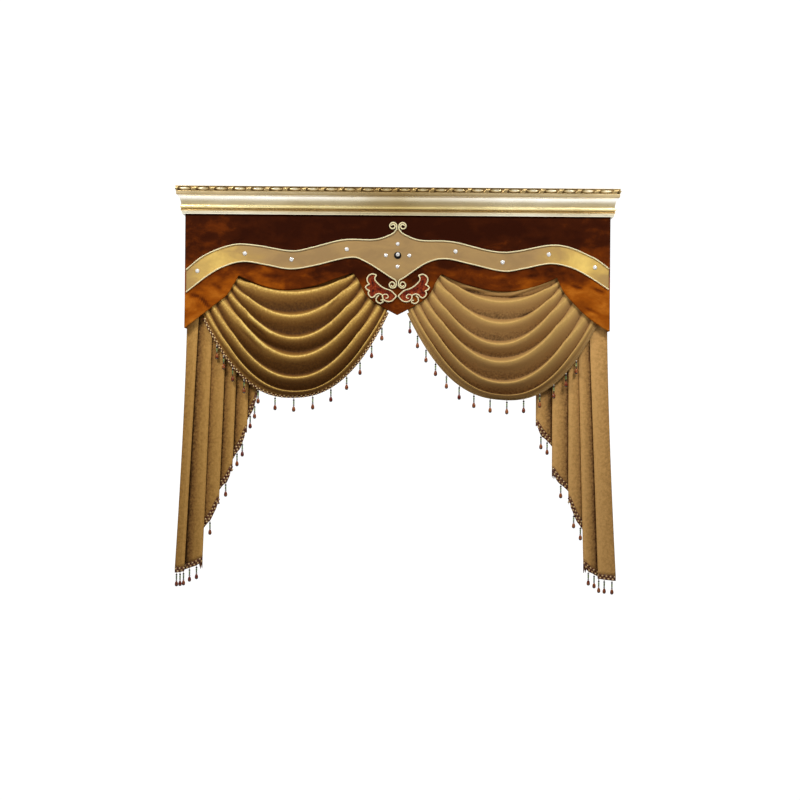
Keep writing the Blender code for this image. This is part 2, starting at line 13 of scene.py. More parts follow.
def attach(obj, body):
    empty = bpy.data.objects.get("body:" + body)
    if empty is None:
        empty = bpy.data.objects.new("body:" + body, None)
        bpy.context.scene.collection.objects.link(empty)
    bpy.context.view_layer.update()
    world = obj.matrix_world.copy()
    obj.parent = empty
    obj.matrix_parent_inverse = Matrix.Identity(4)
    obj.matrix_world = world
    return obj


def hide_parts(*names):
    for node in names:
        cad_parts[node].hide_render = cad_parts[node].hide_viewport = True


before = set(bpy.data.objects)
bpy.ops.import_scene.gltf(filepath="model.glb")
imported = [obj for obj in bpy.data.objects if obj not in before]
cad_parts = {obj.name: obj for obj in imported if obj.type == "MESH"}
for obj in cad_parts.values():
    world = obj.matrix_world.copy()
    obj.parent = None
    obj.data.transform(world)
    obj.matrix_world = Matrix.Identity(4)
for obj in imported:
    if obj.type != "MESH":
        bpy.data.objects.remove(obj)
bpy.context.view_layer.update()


# Cornice board and batten
# Pine board that carries the valance, screwed to the wall by its back edge, with a batten
# along its front that the pelmet, the swags and the tails are tacked to.

def new_material(name, base, roughness, metallic=0.0, gloss=0.5):
    """Material with its plain values on the shader's own sockets; cloth has little gloss."""
    mat = bpy.data.materials.new(name)
    mat.use_nodes = True
    shader = mat.node_tree.nodes["Principled BSDF"]
    shader.inputs["Base Color"].default_value = (*base, 1)
    shader.inputs["Roughness"].default_value = roughness
    shader.inputs["Metallic"].default_value = metallic
    shader.inputs["Specular IOR Level"].default_value = gloss
    return mat, mat.node_tree.nodes, mat.node_tree.links, shader


def object_noise(nodes, links, scale, detail=4.0, stretch=(1, 1, 1), rough=0.55, bend=0.0):
    """Noise on object coordinates, stretched along an axis by a small number there."""
    place = nodes.new("ShaderNodeTexCoord")
    mapping = nodes.new("ShaderNodeMapping")
    mapping.inputs["Scale"].default_value = stretch
    spots = nodes.new("ShaderNodeTexNoise")
    spots.inputs["Scale"].default_value = scale
    spots.inputs["Detail"].default_value = detail
    spots.inputs["Roughness"].default_value = rough
    spots.inputs["Distortion"].default_value = bend
    links.new(place.outputs["Object"], mapping.inputs["Vector"])
    links.new(mapping.outputs["Vector"], spots.inputs["Vector"])
    return spots.outputs["Fac"]


def colour_ramp(nodes, links, factor, stops):
    """Colours at places from 0 to 1 along a factor."""
    ramp = nodes.new("ShaderNodeValToRGB")
    while len(ramp.color_ramp.elements) < len(stops):
        ramp.color_ramp.elements.new(0.5)
    for element, (place, shade) in zip(ramp.color_ramp.elements, stops):
        element.position = place
        element.color = (*shade, 1)
    links.new(factor, ramp.inputs["Fac"])
    return ramp.outputs["Color"]


def paint(nodes, links, shader, factor, stops):
    """Base colour of a shader, from colours along a factor."""
    links.new(colour_ramp(nodes, links, factor, stops), shader.inputs["Base Color"])


def add_bump(nodes, links, shader, height, distance, strength=1.0):
    """Small relief on a shader, on top of any that it has."""
    bump = nodes.new("ShaderNodeBump")
    bump.inputs["Distance"].default_value = distance
    bump.inputs["Strength"].default_value = strength
    links.new(height, bump.inputs["Height"])
    if shader.inputs["Normal"].links:
        links.new(shader.inputs["Normal"].links[0].from_socket, bump.inputs["Normal"])
    links.new(bump.outputs["Normal"], shader.inputs["Normal"])


pine, nodes, links, shader = new_material("pine board", (0.60, 0.42, 0.24), 0.6)
grain = object_noise(nodes, links, 26, 6.0, (0.06, 1, 1))
paint(nodes, links, shader, grain, [(0.35, (0.46, 0.30, 0.15)), (0.65, (0.68, 0.50, 0.30))])
add_bump(nodes, links, shader, grain, 0.0006)
for node in ("cornice_board", "cornice_batten"):
    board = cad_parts[node]
    board.data.materials.clear()
    board.data.materials.append(pine)


# Crown moulding
# Carved pine in one front length and two mitred side returns, gessoed and laid with
# champagne gold leaf, with painted shade in its recesses and at its middle and painted reflection on its
# cove; nailed to the cornice box.

FACE_Y = -0.1603
FACE_X = 0.9973
RETURN_END = -0.001
MITRE_GAP = 0.0003
RUN_STEPS = 5

# Face of the moulding in runs between its arrises, from the top down: projection, height
CROWN_RUNS = [
    [(0.000, 0.015), (0.041, 0.015)],
    [(0.041, 0.015), (0.0425, 0.0145), (0.0425, 0.0125), (0.041, 0.012)],
    [(0.041, 0.012), (0.037, 0.0105), (0.036, 0.002), (0.037, -0.0065), (0.039, -0.0085)],
    [(0.039, -0.0085), (0.0392, -0.012), (0.0388, -0.024)],
    [(0.0388, -0.024), (0.0345, -0.0255), (0.034, -0.029)],
    [(0.034, -0.029), (0.0285, -0.033), (0.0232, -0.043), (0.0185, -0.057), (0.0165, -0.072)],
    [(0.0165, -0.072), (0.0205, -0.0735), (0.0235, -0.078), (0.0225, -0.083), (0.0185, -0.0865)],
    [(0.0185, -0.0865), (0.0165, -0.088), (0.0165, -0.095), (0.0185, -0.0965)],
    [(0.0185, -0.0965), (0.0195, -0.0985), (0.0165, -0.1005)],
    [(0.0165, -0.1005), (0.0145, -0.103), (0.0140, -0.1105), (0.012, -0.114)],
    [(0.012, -0.114), (0.000, -0.114)],
]


def smooth_between(a, b, c, d, t):
    """Number or point between b and c on a smooth curve through four of them."""
    return b + 0.5 * t * (c - a + t * (2 * a - 5 * b + 4 * c - d + t * (3 * b - a - 3 * c + d)))


def smooth_run(points, steps):
    """Curve through the points of one run, with steps pieces between each two."""
    ends = [points[0]] + points + [points[-1]]
    curve = []
    for around in zip(ends, ends[1:], ends[2:], ends[3:]):
        for i in range(steps):
            curve.append(tuple(smooth_between(*values, i / steps) for values in zip(*around)))
    curve.append(points[-1])
    return curve


def edge_line(runs, steps):
    """Smooth runs joined at their corners."""
    line = []
    for run in runs:
        line += smooth_run(run, steps)[:-1]
    line.append(runs[-1][-1])
    return line


def put_mesh(name, bm, mat, angle=None, recalc=True):
    """Object from a bmesh, shaded smooth, with sharp edges past an angle if one is given."""
    if recalc:
        bmesh.ops.recalc_face_normals(bm, faces=bm.faces)
    mesh = bpy.data.meshes.new(name)
    bm.to_mesh(mesh)
    bm.free()
    mesh.shade_smooth()
    if angle is not None:
        mesh.set_sharp_from_angle(angle=math.radians(angle))
    mesh.materials.append(mat)
    piece = bpy.data.objects.new(name, mesh)
    bpy.context.collection.objects.link(piece)
    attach(piece, "root")
    return piece


CROWN_BOTTOM = -0.114
CROWN_TOP = 0.015

# Colour of the leaf at shares of the moulding's height, with painted light and shade in it: pale on the
# cove and the foot as painted reflection of the bright floor and lights, golden on the torus, and dark
# bands of painted shadow at the bead row and under the upper members
CROWN_LIGHT_AND_SHADE_TONES = [
    (0.00, (1.0, 0.95, 0.76)), (0.10, (1.0, 0.90, 0.64)), (0.13, (0.40, 0.26, 0.09)),
    (0.19, (0.34, 0.21, 0.07)), (0.23, (1.0, 0.85, 0.41)), (0.31, (1.0, 0.90, 0.54)),
    (0.36, (0.74, 0.60, 0.34)), (0.47, (0.86, 0.75, 0.50)), (0.56, (0.97, 0.94, 0.85)),
    (0.65, (0.98, 0.95, 0.89)), (0.69, (0.55, 0.41, 0.20)), (0.78, (0.66, 0.53, 0.31)),
    (0.82, (0.38, 0.26, 0.10)), (1.00, (0.44, 0.32, 0.14)),
]


def map_range(nodes, links, value, low, high, to_low=0.0, to_high=1.0):
    """Value stretched from one range to another, and held at its ends."""
    stretch = nodes.new("ShaderNodeMapRange")
    stretch.inputs["From Min"].default_value = low
    stretch.inputs["From Max"].default_value = high
    stretch.inputs["To Min"].default_value = to_low
    stretch.inputs["To Max"].default_value = to_high
    links.new(value, stretch.inputs["Value"])
    return stretch.outputs["Result"]


def aside_and_height(nodes, links):
    """Distance out from the middle of the valance, and height."""
    place = nodes.new("ShaderNodeTexCoord")
    parts = nodes.new("ShaderNodeSeparateXYZ")
    links.new(place.outputs["Object"], parts.inputs["Vector"])
    aside = nodes.new("ShaderNodeMath")
    aside.operation = "ABSOLUTE"
    links.new(parts.outputs["X"], aside.inputs[0])
    return aside.outputs["Value"], parts.outputs["Z"]


def tinted(nodes, links, colour, tint):
    """One colour multiplied by another."""
    blend = nodes.new("ShaderNodeMix")
    blend.data_type = "RGBA"
    blend.blend_type = "MULTIPLY"
    blend.inputs["Factor"].default_value = 1.0
    links.new(colour, blend.inputs["A"])
    links.new(tint, blend.inputs["B"])
    return blend.outputs["Result"]


def gold_leaf(name, tones, factor_from):
    """Toned gold leaf, a little rubbed, with painted shade towards the middle; factor_from places its tones.
    """
    mat, nodes, links, shader = new_material(name, (0.72, 0.60, 0.36), 0.3, 0.82)
    # The tones carry painted light and shade along the moulding's height or the carving's relief.
    toned = colour_ramp(nodes, links, factor_from(nodes, links), tones)
    leafing = object_noise(nodes, links, 9, 5.0, (0.4, 1, 1))
    cast = colour_ramp(nodes, links, leafing, [(0.32, (0.84, 0.80, 0.72)), (0.62, (1.0, 1.0, 1.0))])
    aside = aside_and_height(nodes, links)[0]
    # Painted shade: the leaf is darkened towards the middle, away from the side lights.
    middle_painted_shade = colour_ramp(nodes, links, aside, [(0.02, (0.64, 0.57, 0.43)), (0.50, (1.0, 1.0, 1.0))])
    leaf = tinted(nodes, links, tinted(nodes, links, toned, cast), middle_painted_shade)
    links.new(leaf, shader.inputs["Base Color"])
    rub = object_noise(nodes, links, 60, 5.0, (0.15, 1, 1))
    links.new(map_range(nodes, links, rub, 0.3, 0.7, 0.24, 0.36), shader.inputs["Roughness"])
    add_bump(nodes, links, shader, rub, 0.00012)
    return mat


def crown_height(nodes, links):
    """Height on the moulding, 0 at its foot and 1 at its top."""
    return map_range(nodes, links, aside_and_height(nodes, links)[1], CROWN_BOTTOM, CROWN_TOP)


gilt = gold_leaf("champagne gold leaf", CROWN_LIGHT_AND_SHADE_TONES, crown_height)
crown_profile = edge_line(CROWN_RUNS, RUN_STEPS)


def crown_length(name, start, end):
    """Moulding swept between two ends, each a function from a projection to a point in plan."""
    bm = bmesh.new()
    ring = [bm.verts.new((*start(out), z)) for out, z in crown_profile]
    edges = [bm.edges.new(pair) for pair in zip(ring, ring[1:] + ring[:1])]
    swept = bmesh.ops.extrude_edge_only(bm, edges=edges)["geom"]
    far = [v for v in swept if isinstance(v, bmesh.types.BMVert)]
    for vert in far:
        out = min(crown_profile, key=lambda p: (vert.co - Vector((*start(p[0]), p[1]))).length)[0]
        vert.co = (*end(out), vert.co.z)
    bmesh.ops.holes_fill(bm, edges=bm.edges, sides=0)
    piece = put_mesh(name, bm, gilt, 40)
    return piece


crown_front = crown_length("crown_front", lambda out: (-FACE_X - out + MITRE_GAP, FACE_Y - out),
                           lambda out: (FACE_X + out - MITRE_GAP, FACE_Y - out))
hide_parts("cornice_front")
for side, label in ((-1, "left"), (1, "right")):
    crown_return = crown_length("crown_return_" + label,
                                lambda out: (side * (FACE_X + out), RETURN_END),
                                lambda out: (side * (FACE_X + out), FACE_Y - out + MITRE_GAP))
    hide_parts("cornice_return_" + label)


# Leaf carving and bead row on the moulding
# Long leaves wrapped round the top member and a row of small beads under the torus, both
# carved in the same wood and gilded with it.

LEAF_REPEAT = 0.0852
LEAF_REACH = 0.0095
CARVING_OUT = 0.0370
CARVING_MIDDLE_Z = 0.0020
CARVING_HALF = 0.0105
CARVING_ROWS = 16
CARVING_STEP = 0.0022
CARVING_ROUND = 0.92
CARVING_GROUND = 0.20
CARVING_SPREAD = 0.10
BEAD_PITCH = 0.0062
BEAD_RADIUS = 0.0030
BEAD_OUT = 0.0168
BEAD_Z = -0.0915
# Painted shade low in the carving and painted highlight on its tops, by its relief from 0 to 1
CARVING_LIGHT_AND_SHADE_TONES = [(0.00, (0.13, 0.075, 0.025)), (0.30, (0.33, 0.22, 0.085)), (0.62, (0.58, 0.44, 0.21)),
                 (0.85, (0.76, 0.64, 0.38)), (1.00, (0.90, 0.84, 0.66))]

# One repeat of the carving, in shares of its length and of its half height: the leaf, the
# groove along it and the three straps that bind it to the next
LEAF_HALF_LENGTH = 0.32
LEAF_HALF_HEIGHT = 0.78
LEAF_MIDDLE = 0.08
GROOVE_DEPTH = 0.30
GROOVE_UP = 0.45
GROOVE_BOW = 0.9
GROOVE_HALF = 0.09
STRAPS = (-0.085, 0.0, 0.085)
STRAP_LEAN = 0.075
STRAP_HALF = 0.036
STRAP_RISE = 0.66


def point_value(nodes, name):
    """Number stored at the points of a mesh."""
    stored = nodes.new("ShaderNodeAttribute")
    stored.attribute_name = name
    return stored.outputs["Fac"]


# The carving's leaf is coloured by its relief: painted shade where it is low, painted highlight where it is
# high.
carved_gilt = gold_leaf("gold leaf on the carving", CARVING_LIGHT_AND_SHADE_TONES,
                        lambda nodes, links: point_value(nodes, "relief"))


def carved_height(along, up):
    """Relief of the leaf carving, 0 to 1; along runs in repeats and up goes from -1 to 1."""
    repeat = along / LEAF_REPEAT
    lean = repeat - math.floor(repeat) - 0.5
    leaf = max(0, 1 - (lean / LEAF_HALF_LENGTH) ** 2 - ((up - LEAF_MIDDLE) / LEAF_HALF_HEIGHT) ** 2) ** 0.5
    groove_off = (up - GROOVE_UP + GROOVE_BOW * lean * lean) / GROOVE_HALF
    groove = 1 - GROOVE_DEPTH * math.exp(-groove_off ** 2)
    apart = lean - math.copysign(0.5, lean)
    straps = sum(math.exp(-((apart - off - STRAP_LEAN * up) / STRAP_HALF) ** 2) for off in STRAPS)
    return min(max(leaf * groove, STRAP_RISE * min(straps, 1)), 1)


def carving(name, start, direction, outward, length, flip):
    """Carved strip along one length of moulding, closed at the back by its own thickness."""
    columns = max(int(length / CARVING_STEP), 2)
    bm = bmesh.new()
    bmesh.ops.create_grid(bm, x_segments=columns, y_segments=CARVING_ROWS, size=0.5)
    relief = bm.verts.layers.float.new("relief")
    for vert in bm.verts:
        along = (vert.co.x + 0.5) * length
        up = vert.co.y * 2
        body = math.sqrt(max(1 - (CARVING_ROUND * up) ** 2, 0))
        height = carved_height(along, up)
        vert[relief] = height * body
        out = CARVING_OUT + LEAF_REACH * body * (CARVING_GROUND + (1 - CARVING_GROUND) * height)
        spread = CARVING_HALF * (1 + CARVING_SPREAD * height) * up
        # the mitre shortens the strip towards the wall as it steps out
        place = start + direction * (along + (out - CARVING_OUT) * (2 * along / length - 1) * flip)
        vert.co = place + outward * out + Vector((0, 0, CARVING_MIDDLE_Z + spread))
    piece = put_mesh(name, bm, carved_gilt)
    if piece.data.polygons[0].normal.dot(outward) < 0:
        piece.data.flip_normals()
    shell = piece.modifiers.new("back", "SOLIDIFY")
    shell.thickness = 0.001
    shell.offset = -1
    return piece


def bead_row(name, start, direction, outward, length):
    """Row of small half beads."""
    bm = bmesh.new()
    count = int(length / BEAD_PITCH)
    for i in range(count):
        place = start + direction * (length * (i + 0.5) / count) + outward * BEAD_OUT
        place.z = BEAD_Z
        bmesh.ops.create_icosphere(bm, subdivisions=1, radius=BEAD_RADIUS, matrix=Matrix.Translation(place))
    piece = put_mesh(name, bm, gilt)
    return piece


carving_reach = FACE_X + CARVING_OUT
bead_reach = FACE_X + BEAD_OUT
to_right = Vector((1, 0, 0))
to_room = Vector((0, -1, 0))
carving("carving_front", Vector((-carving_reach, FACE_Y, 0)), to_right, to_room, 2 * carving_reach, 1)
bead_row("bead_row_front", Vector((-bead_reach, FACE_Y, 0)), to_right, to_room, 2 * bead_reach)
return_length = -FACE_Y + RETURN_END
for side, label in ((-1, "left"), (1, "right")):
    start = Vector((side * FACE_X, RETURN_END, 0))
    carving("carving_" + label, start, to_room, side * to_right, return_length + CARVING_OUT, 0)
    bead_row("bead_row_" + label, start, to_room, side * to_right, return_length + BEAD_OUT)


# Pelmet
# One panel of crushed velvet on a stiff interlining, with plain side returns, tacked to the
# box behind the moulding; its free lower edge sways a little and the nap lies unevenly.

PELMET_THICKNESS = 0.003
PELMET_TOP = 0.008
PELMET_Y = -0.160
PELMET_HALF = 0.997
PELMET_CORNER_Z = -0.648
BEHIND_CORNICE = -0.13
BAND_CLEAR = 0.008
PELMET_ROWS = 84
PELMET_STEPS = 16
CORNER_ROUND = 0.006
RETURN_COLUMNS = 14
CORNER_COLUMNS = 4
RETURN_FLAT = -0.50
FREE_LEAST = 0.02
FREE_POWER = 1.5

# Sway of the free edge, with the shield flat and the corners well forward
SHIELD_HALF = 0.20
SHIELD_BLEND = 0.12
CORNER_START = 0.78
CORNER_BLEND = 0.18
CORNER_SWAY = 0.006
EDGE_SWAY = 0.0025
SWAYS_PER_METRE = 17
SWAY_START = 0.6

# Give of the velvet: clear distance round the band and its blend, and the same on the shield
GIVE_CLEAR = 0.010
GIVE_BLEND = 0.03
GIVE_BELOW_CORNICE = 0.012
SHIELD_FLAT = 0.16
SHIELD_FADE = 0.04
SHIELD_GIVE = 0.35

# Lower edge in runs between its corners: x, z
PELMET_EDGE = [
    [(-0.990, -0.646), (-0.868, -0.549), (-0.801, -0.495), (-0.773, -0.451), (-0.744, -0.401)],
    [(-0.744, -0.401), (-0.628, -0.450), (-0.521, -0.466), (-0.395, -0.447), (-0.270, -0.405),
     (-0.208, -0.385)],
    [(-0.208, -0.385), (-0.183, -0.418), (-0.150, -0.483), (-0.111, -0.518), (-0.049, -0.555),
     (0.000, -0.581)],
    [(0.000, -0.581), (0.049, -0.555), (0.111, -0.518), (0.150, -0.485), (0.183, -0.418), (0.206, -0.386)],
    [(0.206, -0.386), (0.280, -0.421), (0.399, -0.455), (0.519, -0.466), (0.638, -0.444), (0.748, -0.400)],
    [(0.748, -0.400), (0.776, -0.460), (0.814, -0.507), (0.896, -0.587), (0.990, -0.650)],
]

# Upper and lower edge of the band in the same way
BAND_TOP = [
    [(-0.990, -0.372), (-0.900, -0.302), (-0.771, -0.254), (-0.656, -0.257), (-0.498, -0.281),
     (-0.398, -0.263), (-0.254, -0.227), (-0.110, -0.225), (-0.038, -0.203), (0.000, -0.178)],
    [(0.000, -0.178), (0.038, -0.203), (0.109, -0.227), (0.259, -0.233), (0.493, -0.280), (0.742, -0.244),
     (0.905, -0.296), (0.990, -0.352)],
]
BAND_BOTTOM = [
    [(-0.990, -0.484), (-0.885, -0.402), (-0.807, -0.359), (-0.720, -0.338), (-0.613, -0.353),
     (-0.506, -0.371), (-0.398, -0.356), (-0.225, -0.315), (-0.146, -0.336), (-0.030, -0.408),
     (0.000, -0.424)],
    [(0.000, -0.424), (0.030, -0.408), (0.135, -0.338), (0.225, -0.318), (0.345, -0.342), (0.493, -0.374),
     (0.590, -0.361), (0.712, -0.337), (0.805, -0.352), (0.887, -0.390), (0.990, -0.456)],
]

# Creases pressed in the velvet: start x, z, end x, z, half width, depth (below zero raises a ridge)
PELMET_CREASES = [
    (-0.980, -0.492, -0.925, -0.500, 0.008, 0.0016), (-0.930, -0.500, -0.872, -0.556, 0.009, 0.0018),
    (-0.965, -0.515, -0.905, -0.545, 0.010, -0.0012), (-0.860, -0.440, -0.820, -0.470, 0.008, 0.0010),
    (0.800, -0.430, 0.880, -0.455, 0.008, 0.0012), (0.900, -0.440, 0.975, -0.470, 0.007, 0.0013),
    (0.840, -0.480, 0.935, -0.520, 0.010, -0.0012), (0.880, -0.540, 0.965, -0.575, 0.008, 0.0012),
    (-0.640, -0.395, -0.560, -0.405, 0.009, 0.0008), (0.560, -0.400, 0.680, -0.385, 0.009, 0.0008),
]
CREASE_END = 0.04
PELMET_CREASE_SHADE = 450


def sum_of(nodes, links, first, weight, second):
    """First value times a weight, plus a second value."""
    summed = nodes.new("ShaderNodeMath")
    summed.operation = "MULTIPLY_ADD"
    summed.inputs[1].default_value = weight
    links.new(first, summed.inputs[0])
    links.new(second, summed.inputs[2])
    return summed.outputs["Value"]


def height_at(line, x):
    """Height of a left-to-right line at one place."""
    for (xa, za), (xb, zb) in zip(line, line[1:]):
        if xa <= x <= xb:
            return za + (zb - za) * (x - xa) / (xb - xa)
    return line[0][1] if x < line[0][0] else line[-1][1]


def clamp(value):
    """Value held between 0 and 1."""
    return min(max(value, 0), 1)


def smooth_step(value):
    """Eased way from 0 to 1."""
    value = clamp(value)
    return value * value * (3 - 2 * value)


def crease_depth(creases, x, z):
    """Depth pressed by soft troughs and ridges at one place of a cloth."""
    depth = 0
    for xa, za, xb, zb, wide, deep in creases:
        along_x, along_z = xb - xa, zb - za
        share = clamp(((x - xa) * along_x + (z - za) * along_z) / (along_x ** 2 + along_z ** 2))
        off = math.hypot(x - xa - along_x * share, z - za - along_z * share)
        end = math.sin(math.pi * (CREASE_END + (1 - 2 * CREASE_END) * share))
        depth += deep * math.exp(-(off / wide) ** 2) * end
    return depth


def pelmet_lift(x, share):
    """Forward sway of the free lower edge; the shield and the band lie flat."""
    side = clamp((abs(x) - SHIELD_HALF) / SHIELD_BLEND)
    corner = clamp((abs(x) - CORNER_START) / CORNER_BLEND)
    sway = EDGE_SWAY * (1 + math.sin(SWAYS_PER_METRE * x + SWAY_START))
    return share * side * (sway + CORNER_SWAY * corner)


def cloth_piece(name, rows, thickness, mat, even=False, shades=None):
    """Sheet through rows of points that run in +x, its thickness to the back, with its own UV map.

    shades holds the painted shade at each point, 0 on a crest, painted brightest, and 1 deep in a fold,
    painted darkest.
    """
    bm = bmesh.new()
    bmesh.ops.create_grid(bm, x_segments=len(rows[0]) - 1, y_segments=len(rows) - 1, size=0.5)
    layer = bm.loops.layers.uv.new("cloth")
    fold = bm.verts.layers.float.new("fold")
    order = sorted(bm.verts, key=lambda v: (-round(v.co.y, 6), v.co.x))
    spots = iter(order)
    for row, row_shades in zip(rows, shades or [[0] * len(row) for row in rows]):
        for point, shade in zip(row, row_shades):
            spot = next(spots)
            spot.co = point
            spot[fold] = shade
    across = [0.0]
    middle = rows[len(rows) // 2]
    for a, b in zip(middle, middle[1:]):
        across.append(across[-1] + (Vector(b) - Vector(a)).length)
    down = [0.0]
    for upper, lower in zip(rows, rows[1:]):
        half = len(upper) // 2
        down.append(down[-1] + (Vector(lower[half]) - Vector(upper[half])).length)
    place = {}
    width = len(rows[0])
    for index, vert in enumerate(order):
        place[vert] = (across[index % width], down[index // width])
    for face in bm.faces:
        for loop in face.loops:
            loop[layer].uv = place[loop.vert]
    bm.normal_update()
    piece = put_mesh(name, bm, mat, recalc=False)
    facing = sum(p.normal.y * p.area for p in piece.data.polygons)
    if facing > 0:
        piece.data.flip_normals()
    shell = piece.modifiers.new("thickness", "SOLIDIFY")
    shell.thickness = thickness
    shell.offset = -1
    shell.use_even_offset = even
    return piece


band_top_line = edge_line(BAND_TOP, 8)
band_bottom_line = edge_line(BAND_BOTTOM, 8)


def velvet_give(x, z):
    """Unevenness of the velvet away from the band."""
    clear = max(smooth_step((height_at(band_bottom_line, x) - z - GIVE_CLEAR) / GIVE_BLEND),
                smooth_step((z - height_at(band_top_line, x) - GIVE_CLEAR) / GIVE_BLEND))
    clear *= smooth_step((BEHIND_CORNICE + GIVE_BELOW_CORNICE - z) / GIVE_BLEND)
    shield = smooth_step((abs(x) - SHIELD_FLAT) / SHIELD_FADE)
    broad = 0.0007 * noise.noise(Vector((x * 14, 1.7, z * 11)))
    fine = 0.0004 * noise.noise(Vector((x * 34, 5.1, z * 30)))
    give = (broad + fine) * (SHIELD_GIVE + (1 - SHIELD_GIVE) * shield)
    return clear * (give - shield * crease_depth(PELMET_CREASES, x, z))


# x, y, height of the lower edge, 1 on the front and 0 on a return
columns = []
for i in range(RETURN_COLUMNS + 1):
    y = RETURN_END + (PELMET_Y + CORNER_ROUND - RETURN_END) * i / RETURN_COLUMNS
    columns.append((-PELMET_HALF, y, PELMET_CORNER_Z, 0))
for i in range(1, CORNER_COLUMNS):
    turn = math.pi / 2 * i / CORNER_COLUMNS
    x = -PELMET_HALF + CORNER_ROUND * (1 - math.cos(turn))
    y = PELMET_Y + CORNER_ROUND * (1 - math.sin(turn))
    columns.append((x, y, PELMET_CORNER_Z, 0))
left_return = list(columns)
for x, z in edge_line(PELMET_EDGE, PELMET_STEPS):
    columns.append((x, PELMET_Y, z, 1))
columns += [(-x, y, z, on) for x, y, z, on in reversed(left_return)]
pelmet_rows, pelmet_shades = [], []
for r in range(PELMET_ROWS + 1):
    share = r / PELMET_ROWS
    row, row_shades = [], []
    for x, y, bottom, on_front in columns:
        z = PELMET_TOP + (bottom - PELMET_TOP) * share
        flat = min(height_at(band_bottom_line, x), BEHIND_CORNICE) if on_front else RETURN_FLAT
        flat = max(flat - BAND_CLEAR, bottom + FREE_LEAST)
        free = clamp((flat - z) / (flat - bottom)) ** FREE_POWER
        forward = pelmet_lift(x, free) + velvet_give(x, z) * on_front
        row.append((x, y - forward, z))
        row_shades.append(clamp(crease_depth(PELMET_CREASES, x, z) * PELMET_CREASE_SHADE) * on_front)
    pelmet_rows.append(row)
    pelmet_shades.append(row_shades)

velvet, nodes, links, shader = new_material("crushed velvet", (0.12, 0.03, 0.004), 0.75, gloss=0.03)
aside, height = aside_and_height(nodes, links)
# Painted light and shade: the velvet is painted brighter towards its ends and lower down, as the side lights
# fall on it, and darker in its creases from the fold value; the mottle over it is the nap's own uneven tone.
outward = map_range(nodes, links, aside, 0.16, 1.02)
downward = map_range(nodes, links, height, -0.22, -0.50)
mottle = object_noise(nodes, links, 12, 7.0, (0.75, 1, 1.2), 0.58, 0.25)
brushed = map_range(nodes, links, mottle, 0.3, 0.7, -0.26, 0.20)
lie = sum_of(nodes, links, outward, 0.27, sum_of(nodes, links, downward, 0.53, brushed))
lie = sum_of(nodes, links, point_value(nodes, "fold"), -0.55, lie)
paint(nodes, links, shader, lie, [
    (0.00, (0.030, 0.0050, 0.0012)), (0.24, (0.048, 0.0085, 0.0016)), (0.46, (0.145, 0.027, 0.0022)),
    (0.70, (0.35, 0.080, 0.0035)), (0.95, (0.58, 0.175, 0.014))])
shader.inputs["Sheen Weight"].default_value = 0.06
shader.inputs["Sheen Roughness"].default_value = 0.4
shader.inputs["Sheen Tint"].default_value = (1.0, 0.35, 0.06, 1)
add_bump(nodes, links, shader, object_noise(nodes, links, 900, 2.0), 0.0004, 0.6)
add_bump(nodes, links, shader, mottle, 0.006, 0.4)

pelmet = cloth_piece("pelmet_velvet", pelmet_rows, PELMET_THICKNESS, velvet, even=True, shades=pelmet_shades)
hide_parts("pelmet")


# Wavy band
# Sueded cloth cut to a wave, laid flat over the velvet and held by the piping on its edges.

BAND_FRONT = -0.1618
BAND_THICKNESS = 0.0015
BAND_ROWS = 14
BAND_ROUND = 0.0004
BAND_ROUND_SHARE = 0.1

# Painted highlight on the band towards its outer ends, where the side lights fall: distance out, height,
# reach
BAND_HIGHLIGHT_SPOT = (0.855, -0.338)
BAND_HIGHLIGHT_REACH = 0.25

suede, nodes, links, shader = new_material("band suede", (0.43, 0.265, 0.108), 0.75, gloss=0.15)
aside, height = aside_and_height(nodes, links)
flat_place = nodes.new("ShaderNodeCombineXYZ")
links.new(aside, flat_place.inputs["X"])
links.new(height, flat_place.inputs["Z"])
away = nodes.new("ShaderNodeVectorMath")
away.operation = "DISTANCE"
away.inputs[1].default_value = (BAND_HIGHLIGHT_SPOT[0], 0, BAND_HIGHLIGHT_SPOT[1])
links.new(flat_place.outputs["Vector"], away.inputs[0])
# Painted highlight round the spot, added to random patches of the suede's own tone
near = map_range(nodes, links, away.outputs["Value"], BAND_HIGHLIGHT_REACH, 0.03)
patches = object_noise(nodes, links, 9, 5.0, (0.7, 1, 1.4), 0.6, 0.6)
golden = sum_of(nodes, links, near, 0.62, map_range(nodes, links, patches, 0.35, 0.70, -0.02, 0.32))
paint(nodes, links, shader, golden, [
    (0.00, (0.385, 0.240, 0.100)), (0.20, (0.455, 0.285, 0.112)), (0.42, (0.50, 0.315, 0.105)),
    (0.66, (0.70, 0.46, 0.125)), (0.92, (0.96, 0.68, 0.18))])
add_bump(nodes, links, shader, object_noise(nodes, links, 420, 3.0, (1, 1, 0.3)), 0.0004, 0.6)

band_rows = []
for r in range(BAND_ROWS + 1):
    share = r / BAND_ROWS
    from_edge = min(share, 1 - share)
    rounded = 0
    if from_edge < BAND_ROUND_SHARE:
        rounded = BAND_ROUND * (1 - math.sin(math.pi * from_edge / (2 * BAND_ROUND_SHARE)))
    row = []
    for x, top in band_top_line:
        z = top + (height_at(band_bottom_line, x) - top) * share
        row.append((x, BAND_FRONT + rounded, z))
    band_rows.append(row)
band = cloth_piece("band_suede", band_rows, BAND_THICKNESS, suede)
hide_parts("band")


# Piping
# Cream cord sewn along both edges of the band and wound into scrolls at its two points.

SEAT = 0.0003
CORD_RADIUS = 0.0032
CORD_Y = BAND_FRONT - SEAT - CORD_RADIUS
CORD_INSET = 0.0035
CORD_PART = 0.0018
SCROLL_OUTER = 0.0185
SCROLL_INNER = 0.0065
SCROLL_TURNS = 1.45
SCROLL_STEPS = 60
SCROLL_RISE = 0.014

